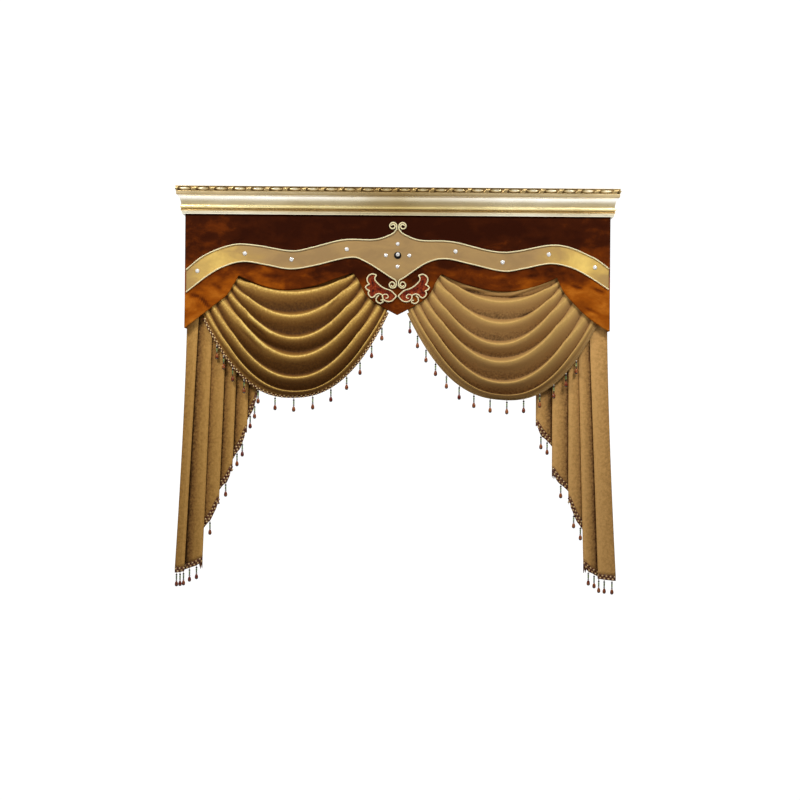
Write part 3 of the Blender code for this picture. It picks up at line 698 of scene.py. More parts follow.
cream, nodes, links, shader = new_material("cream piping", (0.90, 0.74, 0.42), 0.55, gloss=0.2)
strands = nodes.new("ShaderNodeTexWave")
strands.inputs["Scale"].default_value = 130
strands.inputs["Distortion"].default_value = 1.0
strands.bands_direction = "DIAGONAL"
place = nodes.new("ShaderNodeTexCoord")
links.new(place.outputs["Object"], strands.inputs["Vector"])
paint(nodes, links, shader, strands.outputs["Fac"],
      [(0.15, (0.90, 0.72, 0.37)), (0.6, (1.0, 0.93, 0.60))])
add_bump(nodes, links, shader, strands.outputs["Fac"], 0.0008, 0.7)


def cord(name, route, closed=False, radius=CORD_RADIUS):
    """Round cord along a route."""
    curve = bpy.data.curves.new(name, "CURVE")
    curve.dimensions = "3D"
    curve.bevel_depth = radius
    curve.bevel_resolution = 3
    curve.use_fill_caps = True
    spline = curve.splines.new("POLY")
    spline.points.add(len(route) - 1)
    spline.use_cyclic_u = closed
    for point, spot in zip(spline.points, route):
        point.co = (*spot, 1)
    spline.use_smooth = True
    curve.materials.append(cream)
    piece = bpy.data.objects.new(name, curve)
    bpy.context.collection.objects.link(piece)
    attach(piece, "root")
    return piece


scroll_x = -(CORD_RADIUS + CORD_PART + SCROLL_OUTER)
for level, runs, turn in (("top", BAND_TOP, 1), ("bottom", BAND_BOTTOM, -1)):
    peak = runs[0][-1][1]
    for side, label in ((-1, "left"), (1, "right")):
        run = runs[0] if side < 0 else [(-x, z) for x, z in reversed(runs[1])]
        route = [(x, z - CORD_INSET * turn) for x, z in smooth_run(run, 10)[:-6]]
        route.append((scroll_x + SCROLL_OUTER, peak))
        for i in range(SCROLL_STEPS + 1):
            share = i / SCROLL_STEPS
            radius = SCROLL_OUTER + (SCROLL_INNER - SCROLL_OUTER) * share
            angle = 2 * math.pi * SCROLL_TURNS * share * turn
            route.append((scroll_x + radius * math.cos(angle),
                          peak + SCROLL_RISE * turn + radius * math.sin(angle)))
        piping = cord("piping_%s_%s" % (level, label), [(-side * x, CORD_Y, z) for x, z in route])
        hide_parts("band_cord_%s_%s" % (level, label))


# Leaf scrolls
# Rust red velvet leaves with a couched cord round them and a cord curl below, sewn on the
# shield either side of the middle.

BAND_BACK = -0.1603
LEAF_THICKNESS = 0.002
LEAF_RIM = 0.0022

# Outline in runs between its corners, the curl below it and the spiral on it: x, z
LEAF_EDGE = [
    [(-0.004, -0.492), (-0.030, -0.467), (-0.058, -0.457), (-0.080, -0.444), (-0.098, -0.427),
     (-0.106, -0.411), (-0.099, -0.394)],
    [(-0.099, -0.394), (-0.119, -0.389), (-0.136, -0.398), (-0.142, -0.412), (-0.139, -0.427),
     (-0.131, -0.437)],
    [(-0.131, -0.437), (-0.141, -0.442), (-0.150, -0.451)],
    [(-0.150, -0.451), (-0.143, -0.461), (-0.131, -0.467)],
    [(-0.131, -0.467), (-0.136, -0.479), (-0.131, -0.491), (-0.119, -0.499), (-0.108, -0.495)],
    [(-0.108, -0.495), (-0.099, -0.485), (-0.085, -0.481), (-0.069, -0.488)],
    [(-0.069, -0.488), (-0.068, -0.502), (-0.057, -0.514), (-0.040, -0.518), (-0.022, -0.512),
     (-0.004, -0.492)],
]
LEAF_CURL = [(-0.086, -0.489), (-0.097, -0.499), (-0.099, -0.512), (-0.091, -0.522), (-0.079, -0.526),
             (-0.068, -0.520), (-0.069, -0.511), (-0.078, -0.511)]
LEAF_SPIRAL = [(-0.069, -0.488), (-0.056, -0.483), (-0.045, -0.488), (-0.044, -0.499), (-0.054, -0.502)]
SPIRAL_RADIUS = 0.0027

# Lines of painted shade on the leaf between its lobes: start x, z, end x, z
LEAF_SHADE_LINES = [
    (-0.062, -0.470, -0.110, -0.452), (-0.112, -0.450, -0.122, -0.408), (-0.112, -0.456, -0.121, -0.484),
    (-0.030, -0.484, -0.062, -0.470),
]
SHADE_LINE_HALF = 0.0045

red, nodes, links, shader = new_material("leaf velvet", (0.27, 0.025, 0.007), 0.7, gloss=0.1)
flecks = object_noise(nodes, links, 110, 3.0)
# Painted shade along the lines between the lobes, from the fold value, over random flecks
leaf_shade_and_flecks = sum_of(nodes, links, point_value(nodes, "fold"), -0.42, flecks)
paint(nodes, links, shader, leaf_shade_and_flecks, [
    (0.12, (0.045, 0.005, 0.002)), (0.44, (0.20, 0.020, 0.006)), (0.70, (0.42, 0.085, 0.016))])
add_bump(nodes, links, shader, flecks, 0.0010, 0.6)

leaf_line = edge_line(LEAF_EDGE, 6)[:-1]
leaf_shade_lines = [shade_line + (SHADE_LINE_HALF, 1.0) for shade_line in LEAF_SHADE_LINES]
for side, label in ((-1, "left"), (1, "right")):
    bm = bmesh.new()
    face = bm.faces.new([bm.verts.new((-side * x, BAND_BACK, z)) for x, z in leaf_line])
    pushed = bmesh.ops.extrude_face_region(bm, geom=[face])
    moved = [v for v in pushed["geom"] if isinstance(v, bmesh.types.BMVert)]
    bmesh.ops.translate(bm, vec=(0, -LEAF_THICKNESS, 0), verts=moved)
    front = [f for f in pushed["geom"] if isinstance(f, bmesh.types.BMFace)]
    rim = bmesh.ops.inset_region(bm, faces=front, thickness=LEAF_RIM, use_even_offset=True)["faces"]
    bmesh.ops.triangulate(bm, faces=front)
    inner = {f for f in bm.faces if f not in rim
             and (f.normal.y < -0.9 or all(v.co.y < BAND_BACK for v in f.verts))}
    edges = [e for e in bm.edges if not inner.isdisjoint(e.link_faces)]
    bmesh.ops.subdivide_edges(bm, edges=edges, cuts=4, use_grid_fill=True)
    fold = bm.verts.layers.float.new("fold")
    # The fold value holds the painted shade between the lobes; the leaf itself is flat
    for vert in bm.verts:
        vert[fold] = min(crease_depth(leaf_shade_lines, -abs(vert.co.x), vert.co.z), 1)
    leaf = put_mesh("leaf_velvet_" + label, bm, red, 40)
    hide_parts("leaf_" + label)
    y = BAND_BACK - LEAF_THICKNESS - SEAT - CORD_RADIUS
    leaf_cord = cord("leaf_piping_" + label, [(-side * x, y, z) for x, z in leaf_line], closed=True)
    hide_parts("leaf_cord_" + label)
    y = BAND_BACK - CORD_RADIUS
    curl = cord("curl_piping_" + label, [(-side * x, y, z) for x, z in smooth_run(LEAF_CURL, 8)])
    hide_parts("leaf_curl_" + label)
    y = BAND_BACK - LEAF_THICKNESS - 0.5 * SPIRAL_RADIUS
    cord("leaf_spiral_" + label, [(-side * x, y, z) for x, z in smooth_run(LEAF_SPIRAL, 6)],
         radius=SPIRAL_RADIUS)


# Crystals
# Foil-backed glass stones in thin silver rings, sewn on the band; the middle one has a
# polished black ring round it.

# x, z, radius
CRYSTALS = [
    (-0.937, -0.381, 0.010), (-0.716, -0.297, 0.010), (-0.497, -0.324, 0.010), (-0.238, -0.274, 0.010),
    (-0.055, -0.301, 0.009), (0.000, -0.247, 0.009), (0.000, -0.301, 0.017), (0.055, -0.301, 0.009),
    (0.000, -0.353, 0.009), (0.271, -0.280, 0.010), (0.492, -0.329, 0.010), (0.708, -0.291, 0.010),
    (0.925, -0.350, 0.010),
]
RING_TUBE = 0.0008
EYE_RADIUS = 0.0021
LARGE_STONE = 0.012
STONE_FOOT = 0.0016
STONE_RISE = 0.46
DOME_SHIFT = (0.0008, 0.0042)
STONE_FACETS = 12

# Painted reflection: the foil-backed stones are given as near white, with painted glints, in place of the
# mirror foil.
stone_white, nodes, links, shader = new_material("foiled glass", (0.95, 0.95, 0.93), 0.06)
shader.inputs["Coat Weight"].default_value = 1.0
shader.inputs["Coat Roughness"].default_value = 0.03
glints = object_noise(nodes, links, 420, 1.0)
paint(nodes, links, shader, glints, [(0.30, (0.78, 0.78, 0.75)), (0.50, (1.0, 1.0, 0.98))])
silver, nodes, links, shader = new_material("silver ring", (0.80, 0.80, 0.78), 0.25, 0.9)
add_bump(nodes, links, shader, object_noise(nodes, links, 500, 2.0), 0.0002, 0.4)
onyx, nodes, links, shader = new_material("black enamel", (0.006, 0.005, 0.005), 0.35, gloss=0.12)
add_bump(nodes, links, shader, object_noise(nodes, links, 200, 2.0), 0.0002, 0.2)


def facing_room(bm, x, z, y):
    """Turns a shape made along +z to face the room and puts it in place."""
    bmesh.ops.rotate(bm, matrix=Matrix.Rotation(math.radians(90), 3, "X"), verts=bm.verts)
    bmesh.ops.translate(bm, vec=(x, y, z), verts=bm.verts)


def turned(profile, steps):
    """Shape spun round the z axis from a profile of radius and height that starts and ends on it."""
    bm = bmesh.new()
    ring = [bm.verts.new((radius, 0, height)) for radius, height in profile]
    edges = [bm.edges.new(pair) for pair in zip(ring, ring[1:])]
    bmesh.ops.spin(bm, geom=ring + edges, cent=(0, 0, 0), axis=(0, 0, 1), angle=2 * math.pi, steps=steps,
                   use_merge=True)
    bmesh.ops.remove_doubles(bm, verts=bm.verts, dist=0.00002)
    return bm


seat_y = BAND_FRONT - SEAT
for number, (x, z, radius) in enumerate(CRYSTALS, 1):
    black = radius > LARGE_STONE
    stone = radius * (0.60 if black else 0.90)
    dome_x, dome_z = (x + DOME_SHIFT[0], z + DOME_SHIFT[1]) if black else (x, z)
    bm = turned([(0, 0), (stone, 0), (stone, STONE_FOOT), (stone * 0.80, STONE_FOOT + radius * 0.28),
                 (stone * 0.42, STONE_FOOT + radius * 0.44), (0, STONE_FOOT + radius * STONE_RISE)],
                STONE_FACETS)
    facing_room(bm, dome_x, dome_z, seat_y)
    glass = put_mesh("stone_%02d" % number, bm, stone_white, 8)
    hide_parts("crystal_%02d" % number)
    around = radius - RING_TUBE
    tube = [(around + RING_TUBE * math.cos(a), RING_TUBE + RING_TUBE * math.sin(a))
            for a in (math.pi * 2 * i / 8 for i in range(9))]
    bm = turned(tube, 32)
    facing_room(bm, x, z, seat_y)
    top_y = seat_y - STONE_FOOT - radius * STONE_RISE
    eye = Matrix.Translation((dome_x, top_y, dome_z)) @ Matrix.Diagonal((1, 0.4, 1, 1))
    bmesh.ops.create_icosphere(bm, subdivisions=2, radius=EYE_RADIUS, matrix=eye)
    ring = put_mesh("stone_ring_%02d" % number, bm, onyx if black else silver, 60)
    if black:
        inside = radius - 1.6 * RING_TUBE
        bm = turned([(0, 0), (inside, 0), (inside, 0.0018), (radius * 0.62, 0.0034), (0, 0.0034)], 40)
        facing_room(bm, x, z, seat_y)
        jet = put_mesh("stone_black_ring", bm, onyx, 50)


# Swags
# Chenille with a silky face, cut on the cross and pleated into folds at both ends behind
# the pelmet; the folds fan out, hang in curves and roll forward at their crests.

# outer x, outer z, inner x, inner z, sag, fullness, lip, belly share; the last row is the hem
LEFT_FOLDS = [
    (-0.742, -0.408, -0.213, -0.386, 0.080, 2.0, 0.014, 0.10),
    (-0.760, -0.441, -0.195, -0.404, 0.163, 2.0, 0.027, 0.40),
    (-0.778, -0.471, -0.174, -0.455, 0.227, 2.0, 0.037, 0.80),
    (-0.802, -0.504, -0.144, -0.503, 0.273, 2.0, 0.041, 1.00),
    (-0.844, -0.543, -0.108, -0.538, 0.335, 2.1, 0.040, 1.00),
    (-0.874, -0.579, -0.066, -0.562, 0.370, 2.2, 0.026, 0.95),
    (-0.902, -0.600, -0.048, -0.565, 0.379, 2.35, 0.010, 0.90),
]
RIGHT_FOLDS = [
    (0.749, -0.415, 0.208, -0.388, 0.110, 2.0, 0.016, 0.10),
    (0.762, -0.440, 0.189, -0.404, 0.190, 2.0, 0.027, 0.35),
    (0.784, -0.471, 0.163, -0.454, 0.249, 2.0, 0.036, 0.75),
    (0.822, -0.515, 0.136, -0.495, 0.289, 2.0, 0.040, 1.00),
    (0.866, -0.565, 0.106, -0.525, 0.346, 2.1, 0.040, 1.00),
    (0.906, -0.605, 0.076, -0.551, 0.372, 2.25, 0.026, 0.95),
    (0.927, -0.622, 0.055, -0.567, 0.370, 2.4, 0.010, 0.90),
]

# Section of one fold from its pocket over its lip, at the swag's middle and then near its
# ends: way down to the next fold, share of the lip, way down, share of the lip
FOLD_SECTION = [
    (-0.20, 0.12, 0.05, 0.00), (-0.07, 0.55, -0.04, 0.70), (0.02, 1.00, 0.03, 1.00),
    (0.22, 0.92, 0.30, 0.88), (0.50, 0.48, 0.68, 0.45),
]
FLAT_SECTION = [0.00, 0.20, 0.40, 0.60, 0.80]
OPEN_REACH = 0.11
LIP_REACH = 0.20

# Painted shade at each place of the section, at the middle and near the ends: 0 on the
# crest, painted as a bright highlight, 1 deep in the fold, painted darkest
SECTION_SHADE = [(0.95, 0.95), (0.50, 0.34), (0.00, 0.06), (0.52, 0.20), (0.86, 0.70)]
HEADING_SHADE = 0.60
HEM_SHADE = 0.25

# Small creases: start x, z, end x, z, half width, depth (below zero raises a ridge)
LEFT_CREASES = [
    (-0.700, -0.585, -0.583, -0.676, 0.006, -0.006), (-0.712, -0.604, -0.600, -0.694, 0.007, 0.004),
    (-0.730, -0.620, -0.609, -0.743, 0.006, -0.005), (-0.744, -0.640, -0.628, -0.756, 0.007, 0.004),
    (-0.330, -0.560, -0.270, -0.500, 0.008, 0.003),
]
RIGHT_CREASES = [
    (0.300, -0.441, 0.430, -0.465, 0.006, -0.005), (0.310, -0.455, 0.440, -0.479, 0.007, 0.004),
    (0.515, -0.492, 0.735, -0.410, 0.006, -0.005), (0.500, -0.503, 0.720, -0.424, 0.007, 0.004),
    (0.560, -0.600, 0.640, -0.560, 0.008, 0.003),
]
CREASE_SHADE = 80
SECTION_STEPS = 7
END_LIP = 0.007
SWAG_BACK = -0.1465
SWAG_BELLY = 0.020
SEWN_Y = PELMET_Y + PELMET_THICKNESS + 0.0004
SEWN_REACH = 0.035
HEADING_HEIGHT = 0.065
HEADING_MIDDLE = 0.45
SWAG_COLUMNS = 170
SWAG_THICKNESS = 0.0016
HEM_SHARE = 0.30


def fold_point(fold, share):
    """x and z of one place along a fold, hanging between its ends."""
    outer_x, outer_z, inner_x, inner_z, sag, fullness = fold[:6]
    hang = sag * (1 - abs(2 * share - 1) ** fullness)
    return outer_x + (inner_x - outer_x) * share, outer_z + (inner_z - outer_z) * share - hang


def swag_surface(fold, below, share, section, flat_down):
    """Point of one fold's section at one place along it."""
    inside = clamp(share)
    from_end = min(inside, 1 - inside)
    middle = 4 * inside * (1 - inside)
    down, out = (side + (centre - side) * middle ** 2 for centre, side in zip(section[:2], section[2:]))
    lip = END_LIP + (fold[6] - END_LIP) * smooth_step(from_end / LIP_REACH)
    way = flat_down + (down - flat_down) * min(from_end / OPEN_REACH, 1)
    x, z = fold_point(fold, share)
    x_below, z_below = fold_point(below, share)
    belly = fold[7] + (below[7] - fold[7]) * clamp(way)
    y = SWAG_BACK - SWAG_BELLY * belly * middle - lip * out
    if share < 0 or share > 1:
        y = SEWN_Y
    return Vector((x + (x_below - x) * way, y, z + (z_below - z) * way))


def swag_shares():
    """Places along a fold, closer together near its ends, with the sewn allowance outside them."""
    even = [i / SWAG_COLUMNS for i in range(SWAG_COLUMNS + 1)]
    eased = [0.5 * s + 0.25 * (1 - math.cos(math.pi * s)) for s in even]
    return [-SEWN_REACH] + eased + [1 + SEWN_REACH]


def smooth_column(points, steps):
    """Curve down through one column of points."""
    ends = [points[0]] + points + [points[-1]]
    curve = []
    for around in zip(ends, ends[1:], ends[2:], ends[3:]):
        curve += [smooth_between(*around, i / steps) for i in range(steps)]
    curve.append(points[-1])
    return curve


def in_steps(values, steps):
    """Numbers with even steps between each two."""
    spread = [a + (b - a) * i / steps for a, b in zip(values, values[1:]) for i in range(steps)]
    return spread + [values[-1]]


def section_shade(share, shades):
    """Shade at one place along a fold, between its ends' value and its middle's."""
    inside = clamp(share)
    middle = (4 * inside * (1 - inside)) ** 2
    return shades[1] + (shades[0] - shades[1]) * middle


def swag_rows(folds, creases):
    """Rows of points down the swag, and the shade of each point."""
    columns, shade_columns = [], []
    for share in swag_shares():
        top_x, top_z = fold_point(folds[0], share)
        column = [Vector((top_x, SEWN_Y, top_z + HEADING_HEIGHT)),
                  Vector((top_x, SEWN_Y, top_z + HEADING_HEIGHT * HEADING_MIDDLE))]
        shades = [HEADING_SHADE, HEADING_SHADE]
        for fold, below in zip(folds, folds[1:]):
            for section, section_shades, flat_down in zip(FOLD_SECTION, SECTION_SHADE, FLAT_SECTION):
                column.append(swag_surface(fold, below, share, section, flat_down))
                shades.append(section_shade(share, section_shades))
        column.append(swag_surface(folds[-1], folds[-1], share, (0, HEM_SHARE, 0, HEM_SHARE), 0))
        shades.append(HEM_SHADE)
        column = smooth_column(column, SECTION_STEPS)
        shades = in_steps(shades, SECTION_STEPS)
        for number, point in enumerate(column):
            pressed = crease_depth(creases, point.x, point.z)
            point.y += pressed
            shades[number] = clamp(shades[number] + CREASE_SHADE * pressed)
        columns.append(column)
        shade_columns.append(shades)
    return [list(row) for row in zip(*columns)], [list(row) for row in zip(*shade_columns)]


def chenille(name, tones, mottle_share, pile_scale):
    """Short piled, silky cloth, with a painted highlight on its crests and painted shade in its folds from
    the fold value, mottled all over.
    """
    mat, nodes, links, shader = new_material(name, tones[1][1], 0.65, gloss=0.1)
    pile = object_noise(nodes, links, pile_scale, 5.0, (1, 1, 1), 0.65)
    mottled = map_range(nodes, links, pile, 0.30, 0.70, -mottle_share, mottle_share)
    shaded = sum_of(nodes, links, point_value(nodes, "fold"), 1.0, mottled)
    paint(nodes, links, shader, shaded, tones)
    shader.inputs["Sheen Weight"].default_value = 0.04
    shader.inputs["Sheen Roughness"].default_value = 0.4
    shader.inputs["Sheen Tint"].default_value = (*tones[0][1], 1)
    add_bump(nodes, links, shader, object_noise(nodes, links, 520, 3.0), 0.0005, 0.6)
    add_bump(nodes, links, shader, pile, 0.0014, 0.5)
    return mat


# Tones from the painted highlight on a crest (0) to the painted shade deep in a fold (1)
swag_cloth = {
    "left": chenille("golden chenille", [
        (0.00, (1.0, 0.70, 0.20)), (0.12, (0.66, 0.39, 0.095)), (0.34, (0.36, 0.185, 0.042)),
        (0.74, (0.185, 0.078, 0.016)), (1.00, (0.060, 0.023, 0.006))], 0.10, 110),
    "right": chenille("tan chenille", [
        (0.00, (0.74, 0.46, 0.145)), (0.16, (0.55, 0.33, 0.100)), (0.45, (0.47, 0.265, 0.088)),
        (0.84, (0.36, 0.190, 0.062)), (1.00, (0.085, 0.042, 0.015))], 0.07, 110),
}
swags, swag_hems = {}, {}
for label, folds, creases in (("left", LEFT_FOLDS, LEFT_CREASES), ("right", RIGHT_FOLDS, RIGHT_CREASES)):
    rows, shades = swag_rows(folds, creases)
    if label == "right":
        rows = [row[::-1] for row in rows]
        shades = [row[::-1] for row in shades]
    swag_hems[label] = rows[-1][1:-1]
    swag = cloth_piece("swag_cloth_" + label, rows, SWAG_THICKNESS, swag_cloth[label], shades=shades)
    swags[label] = swag
    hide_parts("swag_" + label)


# Tails
# Knife pleated side pieces of the same chenille, tacked under the board behind the swags;
# the hem is cut on a slant, so that it steps up pleat by pleat towards the window.

# x of the fold, lean per metre, width tucked, hem at the pleat's start and at its fold, drops
LEFT_PLEATS = [
    (-0.937, 0.050, 0.030, -1.774, -1.768, 3),
    (-0.868, 0.036, 0.050, -1.768, -1.725, 2),
    (-0.803, 0.035, 0.030, -1.608, -1.444, 1),
    (-0.747, 0.035, 0.030, -1.397, -1.292, 1),
    (-0.691, 0.022, 0.030, -1.254, -1.109, 2),
    (-0.639, 0.030, 0.000, -1.070, -0.932, 2),
]
RIGHT_PLEATS = [
    (-0.906, 0.043, 0.030, -1.797, -1.788, 3),
    (-0.852, 0.030, 0.050, -1.788, -1.732, 2),
    (-0.806, 0.006, 0.040, -1.604, -1.428, 2),
    (-0.731, 0.002, 0.030, -1.400, -1.292, 1),
    (-0.654, 0.002, 0.000, -1.180, -1.071, 2),
]
PLEAT_TOP_Z = -0.70
OUTER_EDGE = 0.988
OUTER_FLARE = 0.050
FLARE_TOP = -0.62
FLARE_RUN = 1.18
TAIL_TOP = -0.0125
TAIL_FRONT = -0.1384
TAIL_THICKNESS = 0.0018
PLEAT_DEPTH_TOP = 0.014
PLEAT_DEPTH_HEM = 0.030
OUTER_POWER = 1.4
TURN = 0.006
ROLL = 0.012
TAIL_ROWS = 110
PLEAT_STEPS = 6

# Open face of a pleat, from its hidden start to near its fold: way across, share of the depth
PLEAT_FACE = [(0.0, 1.00), (0.30, 0.62), (0.62, 0.22)]
FIRST_FACE = [(0.0, 0.30), (0.50, 0.12)]


def outer_edge(z):
    """x of the tail's outer edge, which flares out as it goes down."""
    below = clamp((FLARE_TOP - z) / FLARE_RUN)
    return -OUTER_EDGE - OUTER_FLARE * below ** OUTER_POWER


def fold_line(pleat, z):
    """x of a pleat's fold."""
    return pleat[0] - pleat[1] * (PLEAT_TOP_Z - z)


def row_height(hem, share):
    """Height at a share of the way down to the hem."""
    return TAIL_TOP + (hem - TAIL_TOP) * share


def pleat_columns(pleats, share):
    """Section of the pleats in one row, outer edge first: x, share of the depth and hem height."""
    section = []
    for number, pleat in enumerate(pleats):
        tuck, hem_start, hem_fold = pleat[2:5]

        def start(z):
            if number == 0:
                return outer_edge(z)
            outer = pleats[number - 1]
            return fold_line(outer, z) - outer[2] + TURN

        for way, depth_share in (FIRST_FACE if number == 0 else PLEAT_FACE):
            hem = hem_start + (hem_fold - hem_start) * way
            z = row_height(hem, share)
            section.append((start(z) + (fold_line(pleat, z) - start(z)) * way, depth_share, hem))
        z = row_height(hem_fold, share)
        section.append((fold_line(pleat, z) - ROLL, 0.0, hem_fold))
        section.append((fold_line(pleat, z), 0.15, hem_fold))
        if tuck:
            next_hem = pleats[number + 1][3]
            section.append((fold_line(pleat, z) - ROLL, 0.36, hem_fold))
            z = row_height(next_hem, share)
            section.append((fold_line(pleat, z) - tuck + TURN, 0.75, next_hem))
            section.append((fold_line(pleat, z) - tuck, 0.88, next_hem))
    return section


# Painted shade from the depth in the pleat, darker the deeper it lies
PLEAT_SHADE = 1.05
SHADE_POWER = 0.95

# Tones from the painted light on a pleat's open face (0) to the painted shade deep under its fold (1)
tail_cloth = {
    "left": chenille("tail chenille left", [
        (0.00, (0.62, 0.340, 0.094)), (0.20, (0.51, 0.27, 0.070)), (0.45, (0.34, 0.165, 0.044)),
        (0.72, (0.10, 0.044, 0.012)), (1.00, (0.030, 0.012, 0.005))], 0.19, 85),
    "right": chenille("tail chenille right", [
        (0.00, (0.76, 0.430, 0.145)), (0.20, (0.63, 0.345, 0.108)), (0.45, (0.44, 0.230, 0.072)),
        (0.72, (0.15, 0.068, 0.022)), (1.00, (0.036, 0.015, 0.006))], 0.19, 85),
}
tails, tail_hems, tail_pleats = {}, {}, {"left": LEFT_PLEATS, "right": RIGHT_PLEATS}
for side, label, pleats in ((-1, "left", LEFT_PLEATS), (1, "right", RIGHT_PLEATS)):
    rows, shades = [], []
    for r in range(TAIL_ROWS + 1):
        share = r / TAIL_ROWS
        row, row_shades = [], []
        for x, depth_share, hem in pleat_columns(pleats, share):
            z = row_height(hem, share)
            reach = (TAIL_TOP - z) / (TAIL_TOP - pleats[0][3])
            depth = PLEAT_DEPTH_TOP + (PLEAT_DEPTH_HEM - PLEAT_DEPTH_TOP) * reach
            row.append(Vector((x, TAIL_FRONT + depth * depth_share, z)))
            row_shades.append(PLEAT_SHADE * depth_share ** SHADE_POWER)
        rows.append(smooth_column(row, PLEAT_STEPS))
        shades.append(in_steps(row_shades, PLEAT_STEPS))
    tail_hems[label] = rows[-1]
    if side > 0:
        rows = [[Vector((-p.x, p.y, p.z)) for p in reversed(row)] for row in rows]
        shades = [row[::-1] for row in shades]
    tails[label] = cloth_piece("tail_cloth_" + label, rows, TAIL_THICKNESS, tail_cloth[label], shades=shades)
    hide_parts("tail_" + label)


# Bead trim and drops
# Narrow woven tape sewn below each hem, covered with pale and dark glass beads in a checker except below the
# right swag, where it is plain, and strung drops that hang from it: pearl, black beads, green tubes and an
# amber pear.

TAPE_THICKNESS = 0.003
TAPE_FRONT_SHARE = 0.25
TAPE_INSET = 0.25
TAPE_STEP = 0.004
SWAG_TAPE = 0.011
TAIL_TAPE = 0.024
SWAG_HEM_GAP = -0.0008
PLEAT_HEM_GAP = 0.0002
CORNER_REACH = 0.0005
LEAST_SLOPE = 0.5

# Drops on a swag: share of the hem at the first and the last, count, spread of the spacing
SWAG_DROPS = {"left": (0.115, 0.94, 13, 1.15), "right": (0.027, 0.85, 14, 1.0)}

# Drops on a tail: points in a pleat's turn, and the part of the open face that carries drops
TURN_COLUMNS = 5
FIRST_OPEN = (0.0, 1.5)
PLEAT_OPEN = (0.30, 1.0)

# Checker of beads; none are set where the tape turns back under a pleat
CHECK_PITCH = 0.0100
PALE_BEAD = 0.0048
DARK_BEAD = 0.0040
BEAD_SINK = 0.05
OPEN_SLOPE = 0.3

# Parts of a drop: material, then radius and way down along its outline
DROP_PARTS = [
    ("thread", [(0.0006, 0.002), (0.0006, -0.038)]),
    ("pearl", [(0, -0.0010), (0.0026, -0.0016), (0.0036, -0.0034), (0.0026, -0.0052), (0, -0.0058)]),
    ("jet", [(0, -0.0060), (0.0042, -0.0074), (0.0050, -0.0106), (0.0042, -0.0138), (0, -0.0152)]),
    ("tube", [(0, -0.0154), (0.0038, -0.0157), (0.0042, -0.0195), (0.0038, -0.0233), (0, -0.0236)]),
    ("tube", [(0, -0.0238), (0.0038, -0.0241), (0.0042, -0.0268), (0.0038, -0.0295), (0, -0.0298)]),
    ("jet", [(0, -0.0300), (0.0038, -0.0307), (0.0046, -0.0321), (0.0038, -0.0335), (0, -0.0342)]),
    ("jet", [(0, -0.0344), (0.0044, -0.0353), (0.0052, -0.0368), (0.0044, -0.0383), (0, -0.0392)]),
    ("amber", [(0, -0.0394), (0.0032, -0.0400), (0.0054, -0.0438), (0.0074, -0.0490), (0.0084, -0.0546),
               (0.0078, -0.0598), (0.0048, -0.0634), (0, -0.0646)]),
    ("jet", [(0, -0.0602), (0.0080, -0.0605), (0.0052, -0.0644), (0, -0.0664)]),
]
DROP_SIDES = 12
DROP_TURN = 0.7


def woven_tape(name, base, gloss, dark, pale):
    """Ribbed tape in two shades."""
    mat, nodes, links, shader = new_material(name, base, 0.7, gloss=gloss)
    ribs = object_noise(nodes, links, 300, 3.0)
    paint(nodes, links, shader, ribs, [(0.35, dark), (0.65, pale)])
    add_bump(nodes, links, shader, ribs, 0.0006, 0.6)
    return mat


def bead_glass(name, first, second, roughness, scale=60, coat=0.3):
    """Bead material: two shades mottled together under a gloss."""
    mat, nodes, links, shader = new_material(name, first, roughness, gloss=coat)
    streak = object_noise(nodes, links, scale, 2.0)
    paint(nodes, links, shader, streak, [(0.40, first), (0.60, second)])
    shader.inputs["Coat Weight"].default_value = coat
    shader.inputs["IOR"].default_value = 1.45
    add_bump(nodes, links, shader, streak, 0.0003, 0.3)
    return mat


beaded_tape = woven_tape("woven tape", (0.20, 0.075, 0.03), 0.5, (0.09, 0.025, 0.012), (0.30, 0.13, 0.05))
plain_tape = woven_tape("plain tape", (0.36, 0.21, 0.075), 0.1, (0.22, 0.12, 0.04), (0.46, 0.28, 0.10))
drop_finish = {
    "thread": bead_glass("drop thread", (0.05, 0.04, 0.02), (0.09, 0.08, 0.04), 0.6),
    "pearl": bead_glass("pearl bead", (0.82, 0.76, 0.62), (0.95, 0.92, 0.84), 0.2),
    "jet": bead_glass("black bead", (0.012, 0.010, 0.008), (0.05, 0.03, 0.02), 0.15),
    "tube": bead_glass("green tube", (0.12, 0.19, 0.06), (0.34, 0.44, 0.18), 0.35, coat=0.15),
    "amber": bead_glass("amber pear", (0.17, 0.018, 0.008), (0.40, 0.125, 0.035), 0.2, scale=25, coat=0.15),
}
pale_bead = bead_glass("pale bead", (0.70, 0.46, 0.20), (0.95, 0.70, 0.36), 0.45, scale=90, coat=0.1)
dark_bead = bead_glass("dark bead", (0.050, 0.007, 0.004), (0.13, 0.020, 0.010), 0.4, scale=90, coat=0.1)


def lengths_along(path):
    """Length along a path at each of its points."""
    lengths = [0]
    for a, b in zip(path, path[1:]):
        lengths.append(lengths[-1] + (b - a).length)
    return lengths


def point_on(path, arc):
    """Point at a length along a path, and the path's direction there."""
    for a, b in zip(path, path[1:]):
        span = (b - a).length
        if arc <= span:
            return a + (b - a) * (arc / span), (b - a) / span
        arc -= span
    return path[-1], (path[-1] - path[-2]).normalized()


